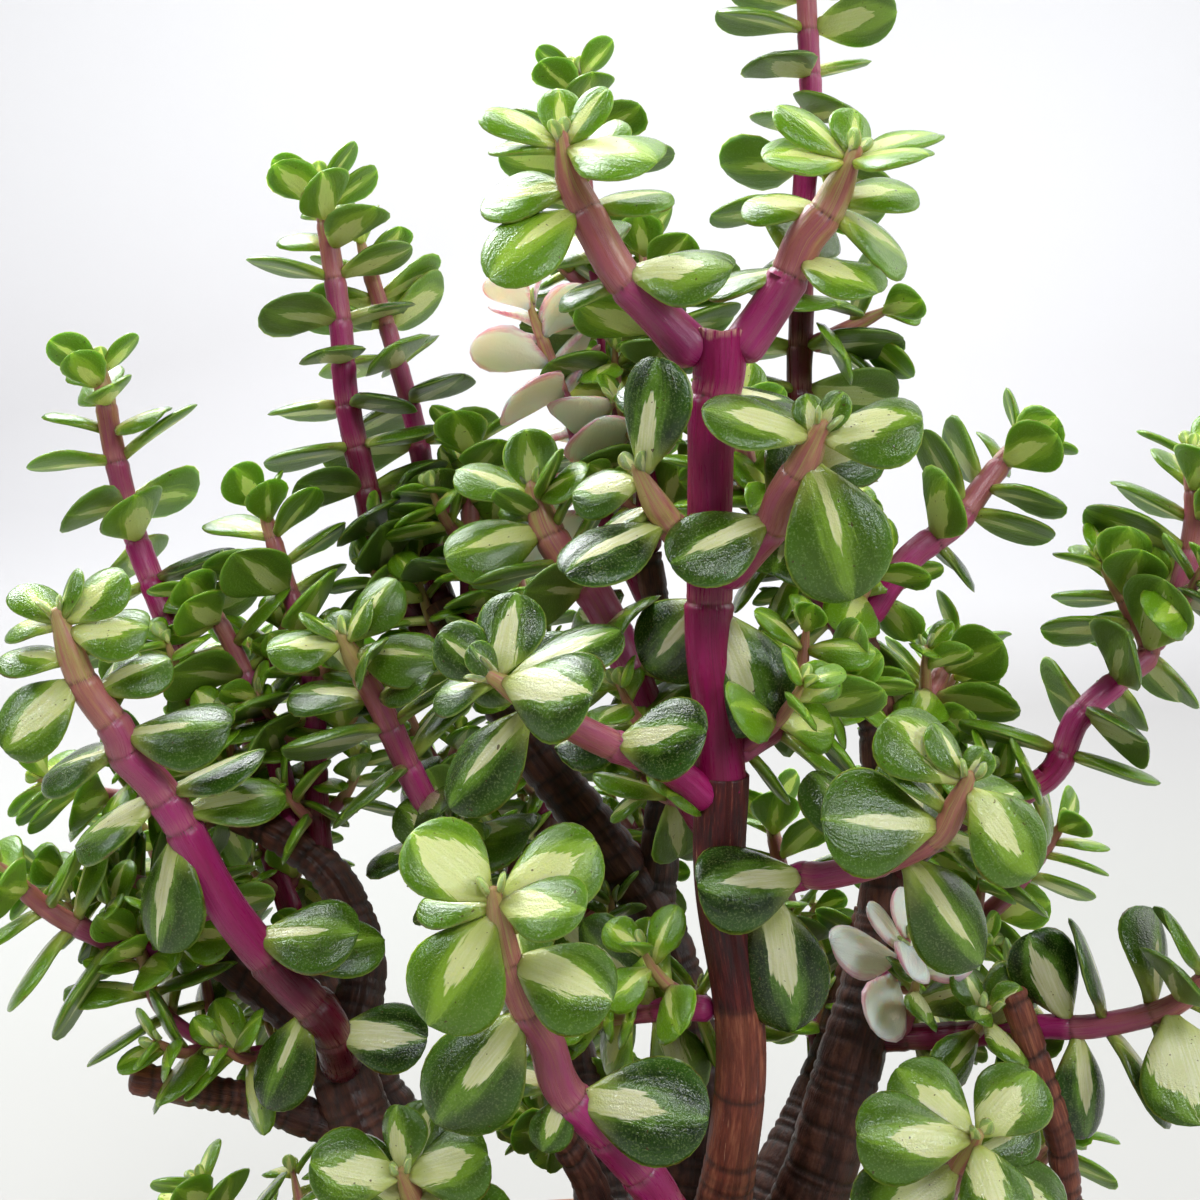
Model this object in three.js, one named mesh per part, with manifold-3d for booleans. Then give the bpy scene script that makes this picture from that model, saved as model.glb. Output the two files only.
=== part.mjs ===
// Rainbow elephant bush bonsai: a variegated Portulacaria afra grown as a many-stemmed bush in a plain
// round pot. Millimetres, +Z up, the pot's feet on Z = 0, +X to the right and +Y away from the viewer.
// Woody limbs rise from one base in the soil. Leafy stems stand on them, each stem with its leaves one
// solid, and a stem's root meets what carries it face to face.

import * as THREE from "three";
import { mergeVertices } from "three/addons/utils/BufferGeometryUtils.js";
import Module from "manifold-3d";

const wasm = await Module();
wasm.setup();

// Driving dimensions
const gap = 0.3; // between any two pieces that meet

const pot = {
  rimRadius: 78,
  footRadius: 62,
  height: 57,
  wall: 6,
  floor: 7,
  lipHeight: 8,
  lipDepth: 3,
  bellyHeight: 31, // where the wall turns from its flare to its upright part
  belly: 3, // how much narrower the pot is there than under its lip
  flare: 3, // how much the wall spreads over the height of the feet
  footHeight: 7,
  footWidth: 11,
  footGap: 26, // width of each of the four notches that part the feet
  drainRadius: 8,
  sides: 24,
};

const screen = { radius: 13, thick: 1.2, bar: 3, slots: 2, sides: 12 }; // over the drain hole

// How far the soil lies below the rim, how far it is mounded, and the radius share where the mound starts
const soil = { below: 6, crown: 5, shoulder: 0.55, shoulderShare: 0.8 };

const leafSize = { long: 16, wide: 12.5, thick: 1.9 }; // a full grown leaf
// How far a leaf's rim is lifted, as a share of its width, and its tip bent down, as a share of its length
const leafForm = { fold: 0.1, arch: 0.07 };

// How leaf pairs follow each other from a stem's tip down: the first pair is small and points up, and each
// one below it is larger, leans out further and stands further off, until the pairs are full grown
const growth = {
  firstSize: 0.58, // of a full grown leaf
  sizeStep: 0.2,
  sizeSpread: 0.2,
  firstLean: 38, // degrees from the stem
  leanStep: 13,
  leanSteps: 3,
  wobble: 14, // degrees, of both the lean and the quarter turns
  roll: 1.2,
  droop: 0.25,
  lift: 0.5, // how far a leaf's upper side looks up, and out from the middle of the plant
  outward: 0.9,
  internode: 15, // between full grown pairs
  firstStep: 0.35, // of an internode
  stepMore: 0.3,
  bareShare: 0.3, // of a stem's length, from its root, that has shed its leaves
};

// How a leaf that would cross another is bent: by how many degrees it turns at each try, and from which try
// on it also leans, and is smaller
const bending = { tries: 12, turn: 14, leanFrom: 6, lean: 12, smallFrom: 8, small: 0.85 };

// How far a leaf set by eye may be bent towards the viewer or away, so that it keeps its place in the view
const bends = [0, -2, 2, -4, 4, -6, 6, -8, 8];
const viewerReach = 1; // a rear leaf's tip lies at least this far behind its stem

// The outline of a leaf: how far along it, and half its width there, as shares of its length and width
const outline = [
  [0.4, 0.4],
  [0.72, 0.5],
  [0.96, 0.27],
];
const thickest = 0.55; // how far along the leaf
const sunk = 0.6; // where a leaf starts, as a share of its stem's radius
const neck = 0.3; // share of a leaf within which it may join its neighbours on the stem
const smallestThick = 0.4; // of a full grown leaf's thickness, which every leaf has

// Woody limbs, oldest first. A route is a stem's centre line, and thick its diameters spread along it.
const limbs = [
  {
    // front limb, which the main stem crowns
    route: [
      [9, -3, 58], [12, -9, 77], [17, -15, 100], [20, -18, 122], [20, -19, 137], [17, -20, 157],
      [17, -20, 173],
    ],
    thick: [18, 13, 9, 7.6, 7.3, 7.3, 7.6],
  },
  {
    // left limb, low and heavy
    route: [
      [1, 0, 56], [-12, 3, 72], [-28, 5, 90], [-38, 7, 107], [-44, 10, 121], [-53, 12, 129],
      [-64, 14, 136],
    ],
    thick: [20, 16, 13, 11.6, 10.8, 9.6, 7.6],
  },
  {
    // pruned stub on the left limb
    route: [[-38, 8, 105], [-55, 6, 112], [-64, 4, 115], [-73, 2, 118]],
    thick: [7, 5.6, 5.2],
  },
  {
    // upright fork of the left limb
    route: [[-42, 10, 117], [-39, 16, 131], [-43, 18, 144], [-51, 20, 151], [-60, 22, 155]],
    thick: [8.4, 7.2, 5.6],
  },
  {
    // back centre limb, which leans to the left
    route: [
      [8, 4, 58], [12, 8, 80], [15, 10, 104], [15, 11, 117], [10, 16, 137], [0, 20, 152], [-9, 23, 163],
      [-18, 27, 175], [-27, 32, 189],
    ],
    thick: [18, 13, 10, 8.6, 7.4, 5.4],
  },
  {
    // upright fork of the back centre limb
    route: [[9, 17, 140], [11, 23, 163], [10, 27, 182], [8, 28, 198]],
    thick: [7, 5.6, 4.6],
  },
  {
    // short pruned limb at the front
    route: [[8, -6, 66], [2, -7, 88], [-1, -8, 104], [-7, -11, 117]],
    thick: [9, 5.6, 4.8],
  },
  {
    // right limb
    route: [
      [12, 2, 58], [24, 3, 78], [34, 4, 98], [40, 6, 119], [46, 14, 140], [46, 17, 158], [45, 18, 172],
      [40, 18, 191],
    ],
    thick: [18, 13, 10.8, 9, 7, 5],
  },
  {
    // far right limb, pruned at its top
    route: [
      [13, 0, 58], [38, -4, 72], [58, -7, 83], [70, -9, 97], [70, -10, 111], [66, -10, 124],
      [62, -8, 136],
    ],
    thick: [15, 8.5, 5.2, 4.4, 4.1],
  },
  {
    // back limb
    route: [[5, 6, 58], [2, 24, 78], [-4, 42, 99], [-8, 56, 122], [-10, 64, 142]],
    thick: [17, 10, 7.6, 5.2],
  },
  {
    // back right limb
    route: [[10, 6, 58], [28, 26, 82], [42, 42, 104], [50, 52, 128]],
    thick: [14, 9, 5.2],
  },
  {
    // back left limb
    route: [[2, 4, 58], [-26, 26, 86], [-44, 38, 108], [-56, 44, 130]],
    thick: [13, 8.4, 5],
  },
];

const woodSides = 6;
const sidesOf = (stem) => (stem.leaves ? 6 : 5); // the stems seen close up are rounder

// The flared base that all limbs rise from, which stands in a plain hole in the soil
const base = {
  centre: [7, 1],
  // radii and heights
  profile: [
    [0, 30],
    [15, 30],
    [19, 52],
    [15, 60],
    [10, 69],
    [0, 73],
  ],
  sides: 10,
};

// Leafy stems. `on` names the stem that carries it, and a stem without it stands on the wood.
// `leaves` are the ones set by eye: `at` is how far up the stem, `tip` runs from the stem to the leaf's tip,
// and `face` is the way its upper side looks. Up to `pairs` more pairs follow the plant's own rule, each a
// quarter turn from the last, the first of them turned by `turn` degrees. `rear` keeps only those of them
// that point away from the viewer.
const stems = [
  {
    name: "main_stem",
    route: [
      [17, -20, 171], [16, -20, 183], [15, -20, 192], [15, -20, 200], [15, -20, 211], [15, -20, 222],
      [16, -20, 228], [16, -20, 234],
    ],
    thick: [7.4, 6.6, 6.6, 6.2, 6.4, 7.8],
    leaves: [
      { at: 0.42, tip: [8, -5, -17], face: [0.1, -1, 0.1], wide: 15 },
      { at: 0.43, tip: [-9, 6, -12], face: [-0.2, -0.9, 0.3], wide: 13 },
      { at: 0.87, tip: [13, 6, -1], face: [0, -0.5, 0.8], wide: 10.5 },
      { at: 0.86, tip: [-13, 6, 2], face: [0, -0.4, 0.9], wide: 10 },
    ],
  },
  {
    name: "left_fork_shoot",
    on: "main_stem",
    route: [
      [15, -20, 229], [8, -21, 236], [3, -22, 241], [0, -22, 246], [-2, -21, 250], [-4, -21, 254],
      [-5, -22, 259],
    ],
    thick: [6, 5.6, 5, 3.4],
    leaves: [
      { at: 0.48, tip: [14, -7, 2], face: [0, -0.6, 0.8], wide: 12.5 },
      { at: 0.44, tip: [-9, 6, -1], face: [0, -0.5, 0.85], wide: 9 },
      { at: 0.74, tip: [-13, -6, -7], face: [-0.3, -0.75, 0.6], wide: 12 },
      { at: 0.73, tip: [11, 2, 4], face: [0, -0.45, 0.9], wide: 9 },
      { at: 1, tip: [-10, 2, 7], face: [0.2, -0.5, 0.85], wide: 8 },
      { at: 0.98, tip: [-10, 4, 2], face: [0, -0.35, 0.93], wide: 7 },
      { at: 1, tip: [-1, 3, 9], face: [0, -0.9, 0.3], wide: 6 },
      { at: 1, tip: [5, 0, 8], face: [-0.3, -0.8, 0.5], wide: 6 },
      { at: 0.96, tip: [11, -10, 0], face: [0, -0.65, 0.75], wide: 12.5 },
    ],
    pairs: 3,
    turn: 100,
    rear: true,
  },
  {
    name: "right_fork_shoot",
    on: "main_stem",
    route: [
      [17, -20, 229], [22, -20, 236], [25, -20, 241], [27, -21, 246], [30, -22, 250], [33, -24, 257],
    ],
    thick: [5.4, 5.6, 5.2, 3.6],
    leaves: [
      { at: 0.52, tip: [10, -9, -3], face: [0.1, -0.5, 0.85], wide: 11 },
      { at: 0.46, tip: [-11, 4, -1], face: [0, -0.4, 0.9], wide: 10 },
      { at: 0.75, tip: [13, 5, -5], face: [0.1, -0.6, 0.8], wide: 12 },
      { at: 0.74, tip: [-10, 5, 3], face: [0, -0.5, 0.85], wide: 10 },
      { at: 1, tip: [-8, 1, 9], face: [0.2, -0.55, 0.8], wide: 9 },
      { at: 0.97, tip: [-11, -3, 2], face: [0, -0.6, 0.8], wide: 10 },
      { at: 0.98, tip: [8, -9, 2], face: [0, -0.45, 0.9], wide: 9 },
      { at: 1, tip: [12, 1, 6], face: [0, -0.35, 0.93], wide: 8 },
    ],
    pairs: 3,
    turn: 80,
    rear: true,
  },
  {
    name: "upper_left_shoot",
    on: "main_stem",
    route: [[15, -20, 200], [12, -22, 205], [9, -24, 209], [7, -26, 212], [5, -27, 216]],
    thick: [4.8, 4.2, 3.4],
    leaves: [
      { at: 1, tip: [1, -3, 16], face: [-0.5, -0.85, 0.1], wide: 10.5 },
      { at: 0.7, tip: [-9, 5, -4], face: [0, -0.5, 0.85], wide: 8 },
      { at: 0.9, tip: [-10, 4, -1], face: [0, -0.7, 0.6], wide: 8.5 },
      { at: 0.55, tip: [-14, -4, -4], face: [0, -0.6, 0.8], wide: 11 },
    ],
  },
  {
    name: "upper_right_shoot",
    on: "main_stem",
    route: [
      [15, -20, 199], [20, -23, 205], [23, -26, 209], [24, -29, 213], [26, -32, 217], [28, -35, 222],
    ],
    thick: [5.6, 5.2, 4.6, 4],
    leaves: [
      { at: 0.48, tip: [-14, -6, -4], face: [-0.1, -0.75, 0.65], wide: 12 },
      { at: 0.86, tip: [7, -3, -18], face: [0.1, -0.98, 0.1], wide: 14.5 },
      { at: 0.98, tip: [12, -5, 4], face: [-0.1, -0.65, 0.75], wide: 12 },
      { at: 0.95, tip: [-14, -1, 5], face: [0.1, -0.55, 0.83], wide: 12 },
      { at: 0.98, tip: [-10, 6, 6], face: [0, -0.4, 0.9], wide: 9 },
      { at: 1, tip: [-1, 2, 6], face: [0, -0.9, 0.3], wide: 4.5 },
      { at: 1, tip: [3, 0, 6], face: [-0.4, -0.8, 0.3], wide: 4.5 },
    ],
    pairs: 3,
    turn: 60,
    rear: true,
  },
  {
    name: "middle_left_shoot",
    route: [
      [16, -20, 168], [11, -24, 174], [7, -27, 177], [1, -30, 180], [-5, -34, 184], [-10, -37, 188],
      [-14, -39, 191],
    ],
    thick: [4.9, 4.5, 4, 3.2],
    leaves: [
      { at: 0.5, tip: [12, -6, 3], face: [0, -0.8, 0.6], wide: 12.5 },
      { at: 1, tip: [2, 4, 11], face: [-0.2, -0.8, 0.6], wide: 9.5 },
      { at: 0.96, tip: [11, -10, 1], face: [0, -0.85, 0.5], wide: 13 },
      { at: 0.98, tip: [-9, 4, -2], face: [0, -0.5, 0.85], wide: 8.5 },
      { at: 0.82, tip: [-12, -2, -13], face: [-0.4, -0.85, 0.3], wide: 10.5 },
      { at: 0.94, tip: [14, 4, 8], face: [0, -0.4, 0.9], wide: 10 },
      { at: 1, tip: [-3, -2, 5], face: [0.3, -0.8, 0.4], wide: 4.5 },
    ],
    pairs: 3,
    turn: 90,
    rear: true,
  },
  {
    name: "middle_right_shoot",
    route: [
      [18, -20, 155], [23, -22, 157], [28, -25, 160], [31, -28, 161], [37, -32, 164], [44, -36, 169],
      [46, -38, 174], [47, -40, 178],
    ],
    thick: [4, 3.9, 3.6, 3],
    leaves: [
      { at: 0.3, tip: [-15, -6, 1], face: [0, -0.8, 0.6], wide: 13 },
      { at: 0.8, tip: [-16, -5, 3], face: [0, -0.9, 0.4], wide: 14.5 },
      { at: 0.58, tip: [-9, 6, 11], face: [0, -0.5, 0.85], wide: 9 },
      { at: 0.97, tip: [-9, 3, 9], face: [0.3, -0.75, 0.6], wide: 12 },
      { at: 0.97, tip: [10, -2, -11], face: [0.2, -0.85, 0.45], wide: 12 },
      { at: 0.64, tip: [13, 1, -16], face: [0.3, -0.9, 0.3], wide: 12.5 },
      { at: 0.75, tip: [10, 5, -3], face: [0, -0.5, 0.85], wide: 9 },
      { at: 0.15, tip: [3, -2, -21], face: [0, -1, 0.1], wide: 14 },
      { at: 1, tip: [2, -1, 5], face: [-0.4, -0.8, 0.3], wide: 4.5 },
    ],
    pairs: 3,
    turn: 70,
    rear: true,
  },
  {
    name: "front_shoot",
    route: [
      [14, -12, 86], [12, -23, 97], [10, -29, 110], [7, -32, 118], [1, -35, 127], [-5, -38, 135],
      [-7, -41, 143], [-10, -44, 150], [-12, -47, 158], [-13, -50, 166],
    ],
    thick: [7.4, 6.6, 5.8, 4.8, 3.2],
    leaves: [
      { at: 1, tip: [-10, 2, 9], face: [0.3, -0.8, 0.5], wide: 11.5 },
      { at: 0.99, tip: [12, 0, 8], face: [-0.3, -0.75, 0.55], wide: 11.5 },
      { at: 0.98, tip: [10, -8, 3], face: [0, -0.7, 0.7], wide: 9.5 },
      { at: 0.97, tip: [-10, 4, 1], face: [0, -0.4, 0.9], wide: 8 },
      { at: 0.97, tip: [-9, -4, -13], face: [-0.2, -0.9, 0.35], wide: 13.5 },
      { at: 0.89, tip: [13, -5, -3], face: [0.1, -0.8, 0.55], wide: 12.5 },
      { at: 0.8, tip: [-12, -3, -15], face: [-0.2, -0.9, 0.3], wide: 14 },
      { at: 0.62, tip: [18, -4, -1], face: [0.1, -0.85, 0.5], wide: 14.5 },
      { at: 0.64, tip: [-10, 3, 2], face: [0, -0.4, 0.9], wide: 7 },
      { at: 0.63, tip: [-3, -3, -7], face: [0, -0.9, 0.3], wide: 6 },
    ],
    pairs: 3,
    turn: 90,
    rear: true,
  },
  {
    name: "left_shoot",
    route: [
      [-42, 10, 116], [-41, 2, 122], [-42, -4, 130], [-48, -6, 138], [-54, -8, 147], [-57, -9, 153],
      [-61, -11, 163], [-64, -12, 169], [-68, -13, 174], [-69, -14, 178], [-73, -15, 185],
      [-76, -16, 195],
    ],
    thick: [6.4, 6.2, 6, 5.6, 5, 3.6],
    leaves: [
      { at: 1, tip: [8, 2, 8], face: [-0.2, -0.6, 0.75], wide: 9.5 },
      { at: 0.99, tip: [-9, 6, 0], face: [0, -0.4, 0.9], wide: 8.5 },
      { at: 0.97, tip: [12, -2, 2], face: [0, -0.6, 0.8], wide: 10 },
      { at: 1, tip: [-7, 4, 6], face: [0.2, -0.5, 0.8], wide: 7.5 },
      { at: 0.9, tip: [-11, -4, -9], face: [-0.3, -0.85, 0.4], wide: 12 },
      { at: 0.87, tip: [10, 4, 5], face: [0, -0.5, 0.85], wide: 9 },
      { at: 0.79, tip: [16, -4, 4], face: [0.1, -0.65, 0.75], wide: 12.5 },
      { at: 0.77, tip: [-14, 5, -4], face: [0, -0.5, 0.85], wide: 11 },
      { at: 0.64, tip: [15, 5, 3], face: [0, -0.4, 0.9], wide: 11 },
      { at: 0.62, tip: [-5, -3, -18], face: [-0.5, -0.85, 0.1], wide: 12 },
      { at: 0.4, tip: [16, -4, 3], face: [0.1, -0.6, 0.8], wide: 13 },
      { at: 0.36, tip: [17, 6, 2], face: [0, -0.6, 0.8], wide: 11 },
      { at: 0.25, tip: [-7, -4, -15], face: [-0.5, -0.85, 0.1], wide: 11 },
      { at: 0.18, tip: [15, -2, 0], face: [0.1, -0.7, 0.7], wide: 11.5 },
    ],
    pairs: 4,
    turn: 80,
    rear: true,
  },
  {
    name: "middle_left_rear_shoot",
    route: [
      [12, 14, 128], [0, 12, 134], [-12, 11, 141], [-22, 9, 151], [-29, 7, 165], [-34, 4, 178],
      [-39, 1, 189],
    ],
    thick: [5.4, 5, 4.6, 4.2, 3.4],
    leaves: [
      { at: 0.99, tip: [7, 2, 10], face: [-0.2, -0.7, 0.65], wide: 9.5 },
      { at: 0.98, tip: [-11, -4, 1], face: [0, -0.6, 0.8], wide: 9.5 },
      { at: 0.96, tip: [13, -4, 1], face: [0, -0.65, 0.75], wide: 11 },
    ],
    pairs: 4,
    turn: 20,
  },
  {
    name: "centre_left_shoot",
    route: [
      [17, -20, 163], [13, -14, 168], [9, -6, 174], [6, -2, 181], [0, 0, 194], [-5, 2, 200],
      [-8, 3, 205], [-10, 4, 211],
    ],
    thick: [4.6, 5.2, 5.4, 5.4, 4.6],
    leaves: [
      { at: 0.99, tip: [-2, 2, 11], face: [0, -0.8, 0.5], wide: 8.5 },
      { at: 0.97, tip: [6, -6, 6], face: [0, -0.6, 0.8], wide: 8.5 },
      { at: 0.99, tip: [-12, 3, 6], face: [0, -0.45, 0.9], wide: 9.5 },
      { at: 0.89, tip: [-15, -5, -2], face: [-0.2, -0.75, 0.6], wide: 12 },
    ],
    pairs: 4,
    turn: 60,
  },
  {
    name: "low_left_shoot",
    route: [[18, -19, 138], [13, -16, 137], [6, -10, 134], [-3, -5, 131], [-12, -2, 131]],
    thick: [3.6, 3.4, 2.6],
    pairs: 3,
    turn: 30,
  },
  {
    name: "small_right_shoot",
    on: "main_stem",
    route: [[17, -20, 175], [24, -16, 178], [30, -11, 181], [37, -6, 184]],
    thick: [3.8, 3.2, 2.6],
    pairs: 4,
    turn: 20,
  },
  {
    name: "tall_right_rear_shoot",
    route: [
      [41, 18, 186], [40, 27, 194], [37, 34, 204], [34, 38, 222], [34, 40, 238], [34, 40, 255],
      [35, 40, 270], [34, 40, 287], [33, 40, 300],
    ],
    thick: [5, 4.6, 4.2, 3.8, 3],
    pairs: 8,
    turn: 15,
  },
  {
    name: "tall_right_rear_side_shoot",
    on: "tall_right_rear_shoot",
    route: [[34, 40, 231], [40, 38, 234], [48, 36, 238]],
    thick: [3, 2.4],
    pairs: 3,
    turn: 50,
  },
  {
    name: "tall_left_rear_shoot",
    route: [
      [-19, 28, 176], [-29, 36, 183], [-38, 43, 194], [-41, 45, 208], [-44, 46, 222], [-45, 47, 236],
      [-48, 48, 260],
    ],
    thick: [5, 4.8, 4.2, 3.2],
    pairs: 8,
    turn: 5,
  },
  {
    name: "tall_left_far_shoot",
    route: [
      [-26, 31, 187], [-29, 42, 194], [-31, 52, 205], [-33, 54, 217], [-37, 55, 232], [-43, 58, 251],
    ],
    thick: [4.8, 4.2, 3.4, 2.6],
    pairs: 7,
    turn: 50,
  },
  {
    name: "far_left_shoot",
    route: [
      [-57, 22, 154], [-66, 28, 170], [-74, 35, 186], [-80, 40, 199], [-83, 40, 213], [-85, 40, 229],
    ],
    thick: [5, 4.6, 3.4],
    pairs: 7,
    turn: 25,
  },
  {
    name: "small_left_rear_shoot",
    route: [[-46, 19, 146], [-47, 22, 160], [-48, 26, 180], [-53, 31, 194], [-57, 34, 206]],
    thick: [4.2, 3.6, 2.6],
    pairs: 6,
    turn: 70,
  },
  {
    name: "far_left_low_shoot",
    route: [[-59, 22, 155], [-70, 25, 156], [-82, 25, 157], [-93, 23, 161]],
    thick: [4.4, 3.6, 2.6],
    pairs: 5,
    turn: 10,
  },
  {
    name: "far_left_side_shoot",
    route: [[-62, 14, 135], [-71, 18, 142], [-81, 19, 145], [-91, 16, 146]],
    thick: [4, 3.4, 2.4],
    pairs: 5,
    turn: 60,
  },
  {
    name: "left_edge_shoot",
    route: [[-63, 14, 136], [-73, 8, 137], [-84, 3, 144], [-93, 0, 154]],
    thick: [4, 3.4, 2.6],
    pairs: 5,
    turn: 30,
  },
  {
    name: "thin_left_shoot",
    route: [[-46, 9, 120], [-58, 9, 119], [-66, 8, 123], [-71, 7, 129], [-73, 5, 141]],
    thick: [2.8, 2.4, 2],
    pairs: 4,
    turn: 40,
  },
  {
    name: "left_mass_shoot",
    route: [[-50, 20, 150], [-55, 27, 166], [-61, 30, 180], [-67, 30, 192]],
    thick: [4.2, 3.6, 2.6],
    pairs: 5,
    turn: 35,
  },
  {
    name: "middle_mass_shoot",
    route: [[-16, 26, 172], [-21, 29, 181], [-22, 34, 193], [-22, 37, 205], [-21, 39, 217]],
    thick: [4.2, 3.6, 2.6],
    pairs: 6,
    turn: 15,
  },
  {
    name: "centre_rear_shoot",
    route: [[8, 28, 196], [8, 30, 208], [9, 32, 220], [10, 34, 232], [7, 37, 250]],
    thick: [4.4, 3.6, 2.6],
    pairs: 7,
    turn: 40,
  },
  {
    name: "pink_shoot",
    route: [[9, 28, 188], [1, 33, 203], [-5, 38, 220], [-9, 39, 231], [-12, 40, 239]],
    thick: [3.6, 2.8, 2],
    pairs: 5,
    turn: 65,
  },
  {
    name: "top_rear_shoot",
    route: [[9, 28, 192], [5, 42, 208], [1, 50, 232], [-2, 54, 256], [-4, 55, 279]],
    thick: [3.6, 2.8, 2],
    pairs: 6,
    turn: 10,
  },
  {
    name: "behind_main_shoot",
    route: [[42, 18, 183], [32, 13, 198], [25, 9, 207], [22, 8, 215], [20, 8, 224]],
    thick: [4.4, 4, 3],
    pairs: 5,
    turn: 45,
  },
  {
    name: "upper_right_far_shoot",
    route: [[41, 17, 187], [49, 18, 198], [57, 20, 204], [62, 22, 210], [69, 25, 218]],
    thick: [4.8, 4.4, 3.2],
    pairs: 6,
    turn: 20,
  },
  {
    name: "right_shoot",
    route: [
      [46, 15, 146], [57, 10, 158], [70, 8, 165], [75, 10, 174], [82, 12, 180], [87, 14, 184],
      [85, 16, 190], [80, 18, 198],
    ],
    thick: [4.8, 4.4, 4, 2.8],
    pairs: 8,
    turn: 30,
  },
  {
    name: "far_right_shoot",
    on: "right_shoot",
    route: [[86, 14, 183], [92, 17, 192], [95, 19, 204], [94, 20, 216]],
    thick: [4, 3.8, 3],
    pairs: 5,
    turn: 0,
  },
  {
    name: "right_mass_shoot",
    route: [[46, 17, 163], [53, 22, 173], [60, 27, 184]],
    thick: [3.8, 3.4, 2.6],
    pairs: 4,
    turn: 30,
  },
  {
    name: "low_right_shoot",
    route: [[41, 8, 122], [54, 2, 125], [67, -4, 129], [75, -8, 131], [85, -12, 136], [92, -15, 146]],
    thick: [4.4, 4, 3.6, 2.6],
    leaves: [
      { at: 0.55, tip: [-7, -4, 14], face: [-0.3, -0.8, 0.5], wide: 11 },
      { at: 0.56, tip: [2, -5, -16], face: [0.5, -0.85, 0.1], wide: 11 },
      { at: 0.78, tip: [3, -12, -12], face: [0, -0.85, 0.5], wide: 15 },
    ],
    pairs: 3,
    turn: 75,
  },
  {
    name: "white_pink_shoot",
    route: [[44, 11, 131], [47, 4, 135], [47, -2, 142]],
    thick: [2.8, 2],
    pairs: 3,
    turn: 80,
  },
  {
    name: "bottom_right_shoot",
    route: [[54, -6, 80], [50, -14, 96], [49, -25, 113], [51, -35, 127]],
    thick: [4.4, 4, 3],
    leaves: [
      { at: 0.97, tip: [-16, -5, 4], face: [0, -0.8, 0.6], wide: 12.5 },
      { at: 1, tip: [-9, 5, 9], face: [0.2, -0.7, 0.7], wide: 11 },
      { at: 1, tip: [8, 3, 9], face: [-0.3, -0.75, 0.6], wide: 11 },
      { at: 0.97, tip: [3, -9, -7], face: [0, -0.8, 0.6], wide: 10 },
      { at: 0.84, tip: [-14, -7, -6], face: [-0.1, -0.8, 0.6], wide: 14 },
      { at: 0.86, tip: [13, -6, -4], face: [0.1, -0.7, 0.7], wide: 12 },
    ],
    pairs: 2,
    turn: 60,
    rear: true,
  },
  {
    name: "bottom_left_shoot",
    route: [[-19, 3, 76], [-22, -9, 86], [-24, -18, 98], [-25, -28, 111], [-27, -34, 121]],
    thick: [5, 4.2, 3],
    leaves: [
      { at: 0.98, tip: [-12, -3, 4], face: [0.1, -0.8, 0.6], wide: 11 },
      { at: 0.98, tip: [11, -3, 5], face: [-0.1, -0.8, 0.6], wide: 11 },
      { at: 1, tip: [3, 3, 9], face: [0, -0.8, 0.6], wide: 8 },
      { at: 0.9, tip: [13, -7, -3], face: [0, -0.75, 0.65], wide: 13 },
      { at: 0.88, tip: [-10, -8, -6], face: [-0.1, -0.75, 0.65], wide: 12 },
    ],
    pairs: 2,
    turn: 90,
    rear: true,
  },
  {
    name: "small_bottom_left_shoot",
    route: [[-31, 5, 93], [-45, 3, 88], [-58, 4, 88], [-65, 7, 98]],
    thick: [3.8, 3.2, 2.4],
    pairs: 4,
    turn: 45,
  },
  {
    name: "low_front_right_shoot",
    route: [[12, -10, 76], [24, -26, 84], [34, -37, 93], [42, -46, 104]],
    thick: [4.6, 4, 3],
    pairs: 5,
    turn: 20,
  },
  {
    name: "low_front_left_shoot",
    route: [[-10, 2, 66], [-20, -16, 74], [-34, -30, 82], [-48, -40, 92]],
    thick: [4.8, 4, 2.8],
    pairs: 6,
    turn: 60,
  },
  {
    name: "low_right_side_shoot",
    route: [[40, -4, 69], [52, 12, 78], [68, 22, 86], [82, 26, 98]],
    thick: [4.2, 3.6, 2.6],
    pairs: 6,
    turn: 35,
  },
  {
    name: "rear_top_shoot",
    route: [[-10, 63, 140], [-13, 72, 154], [-15, 79, 170], [-16, 82, 188]],
    thick: [4.6, 4, 2.8],
    pairs: 6,
    turn: 0,
  },
  {
    name: "rear_middle_shoot",
    route: [[-7, 54, 119], [4, 68, 130], [11, 79, 144], [14, 84, 162]],
    thick: [4.6, 4, 2.8],
    pairs: 6,
    turn: 50,
  },
  {
    name: "rear_left_shoot",
    route: [[-9, 60, 132], [-24, 67, 142], [-36, 73, 156], [-42, 76, 172]],
    thick: [4.4, 3.8, 2.8],
    pairs: 6,
    turn: 20,
  },
  {
    name: "rear_low_shoot",
    route: [[-2, 36, 90], [-6, 54, 88], [-8, 70, 92], [-8, 84, 102]],
    thick: [4.4, 3.8, 2.6],
    pairs: 6,
    turn: 70,
  },
  {
    name: "right_rear_top_shoot",
    route: [[50, 51, 126], [57, 57, 142], [61, 61, 158], [62, 64, 176]],
    thick: [4.6, 4, 2.8],
    pairs: 6,
    turn: 40,
  },
  {
    name: "right_rear_side_shoot",
    route: [[45, 46, 114], [60, 49, 120], [74, 49, 131], [84, 47, 146]],
    thick: [4.4, 3.8, 2.8],
    pairs: 6,
    turn: 80,
  },
  {
    name: "right_rear_low_shoot",
    route: [[41, 41, 102], [40, 58, 112], [37, 72, 124], [34, 82, 140]],
    thick: [4.4, 3.8, 2.8],
    pairs: 6,
    turn: 10,
  },
  {
    name: "left_rear_top_shoot",
    route: [[-55, 43, 128], [-61, 48, 144], [-64, 52, 160], [-65, 54, 178]],
    thick: [4.4, 3.8, 2.8],
    pairs: 6,
    turn: 60,
  },
  {
    name: "left_rear_side_shoot",
    route: [[-48, 40, 114], [-62, 48, 120], [-76, 51, 131], [-86, 52, 146]],
    thick: [4.4, 3.8, 2.8],
    pairs: 6,
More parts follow.
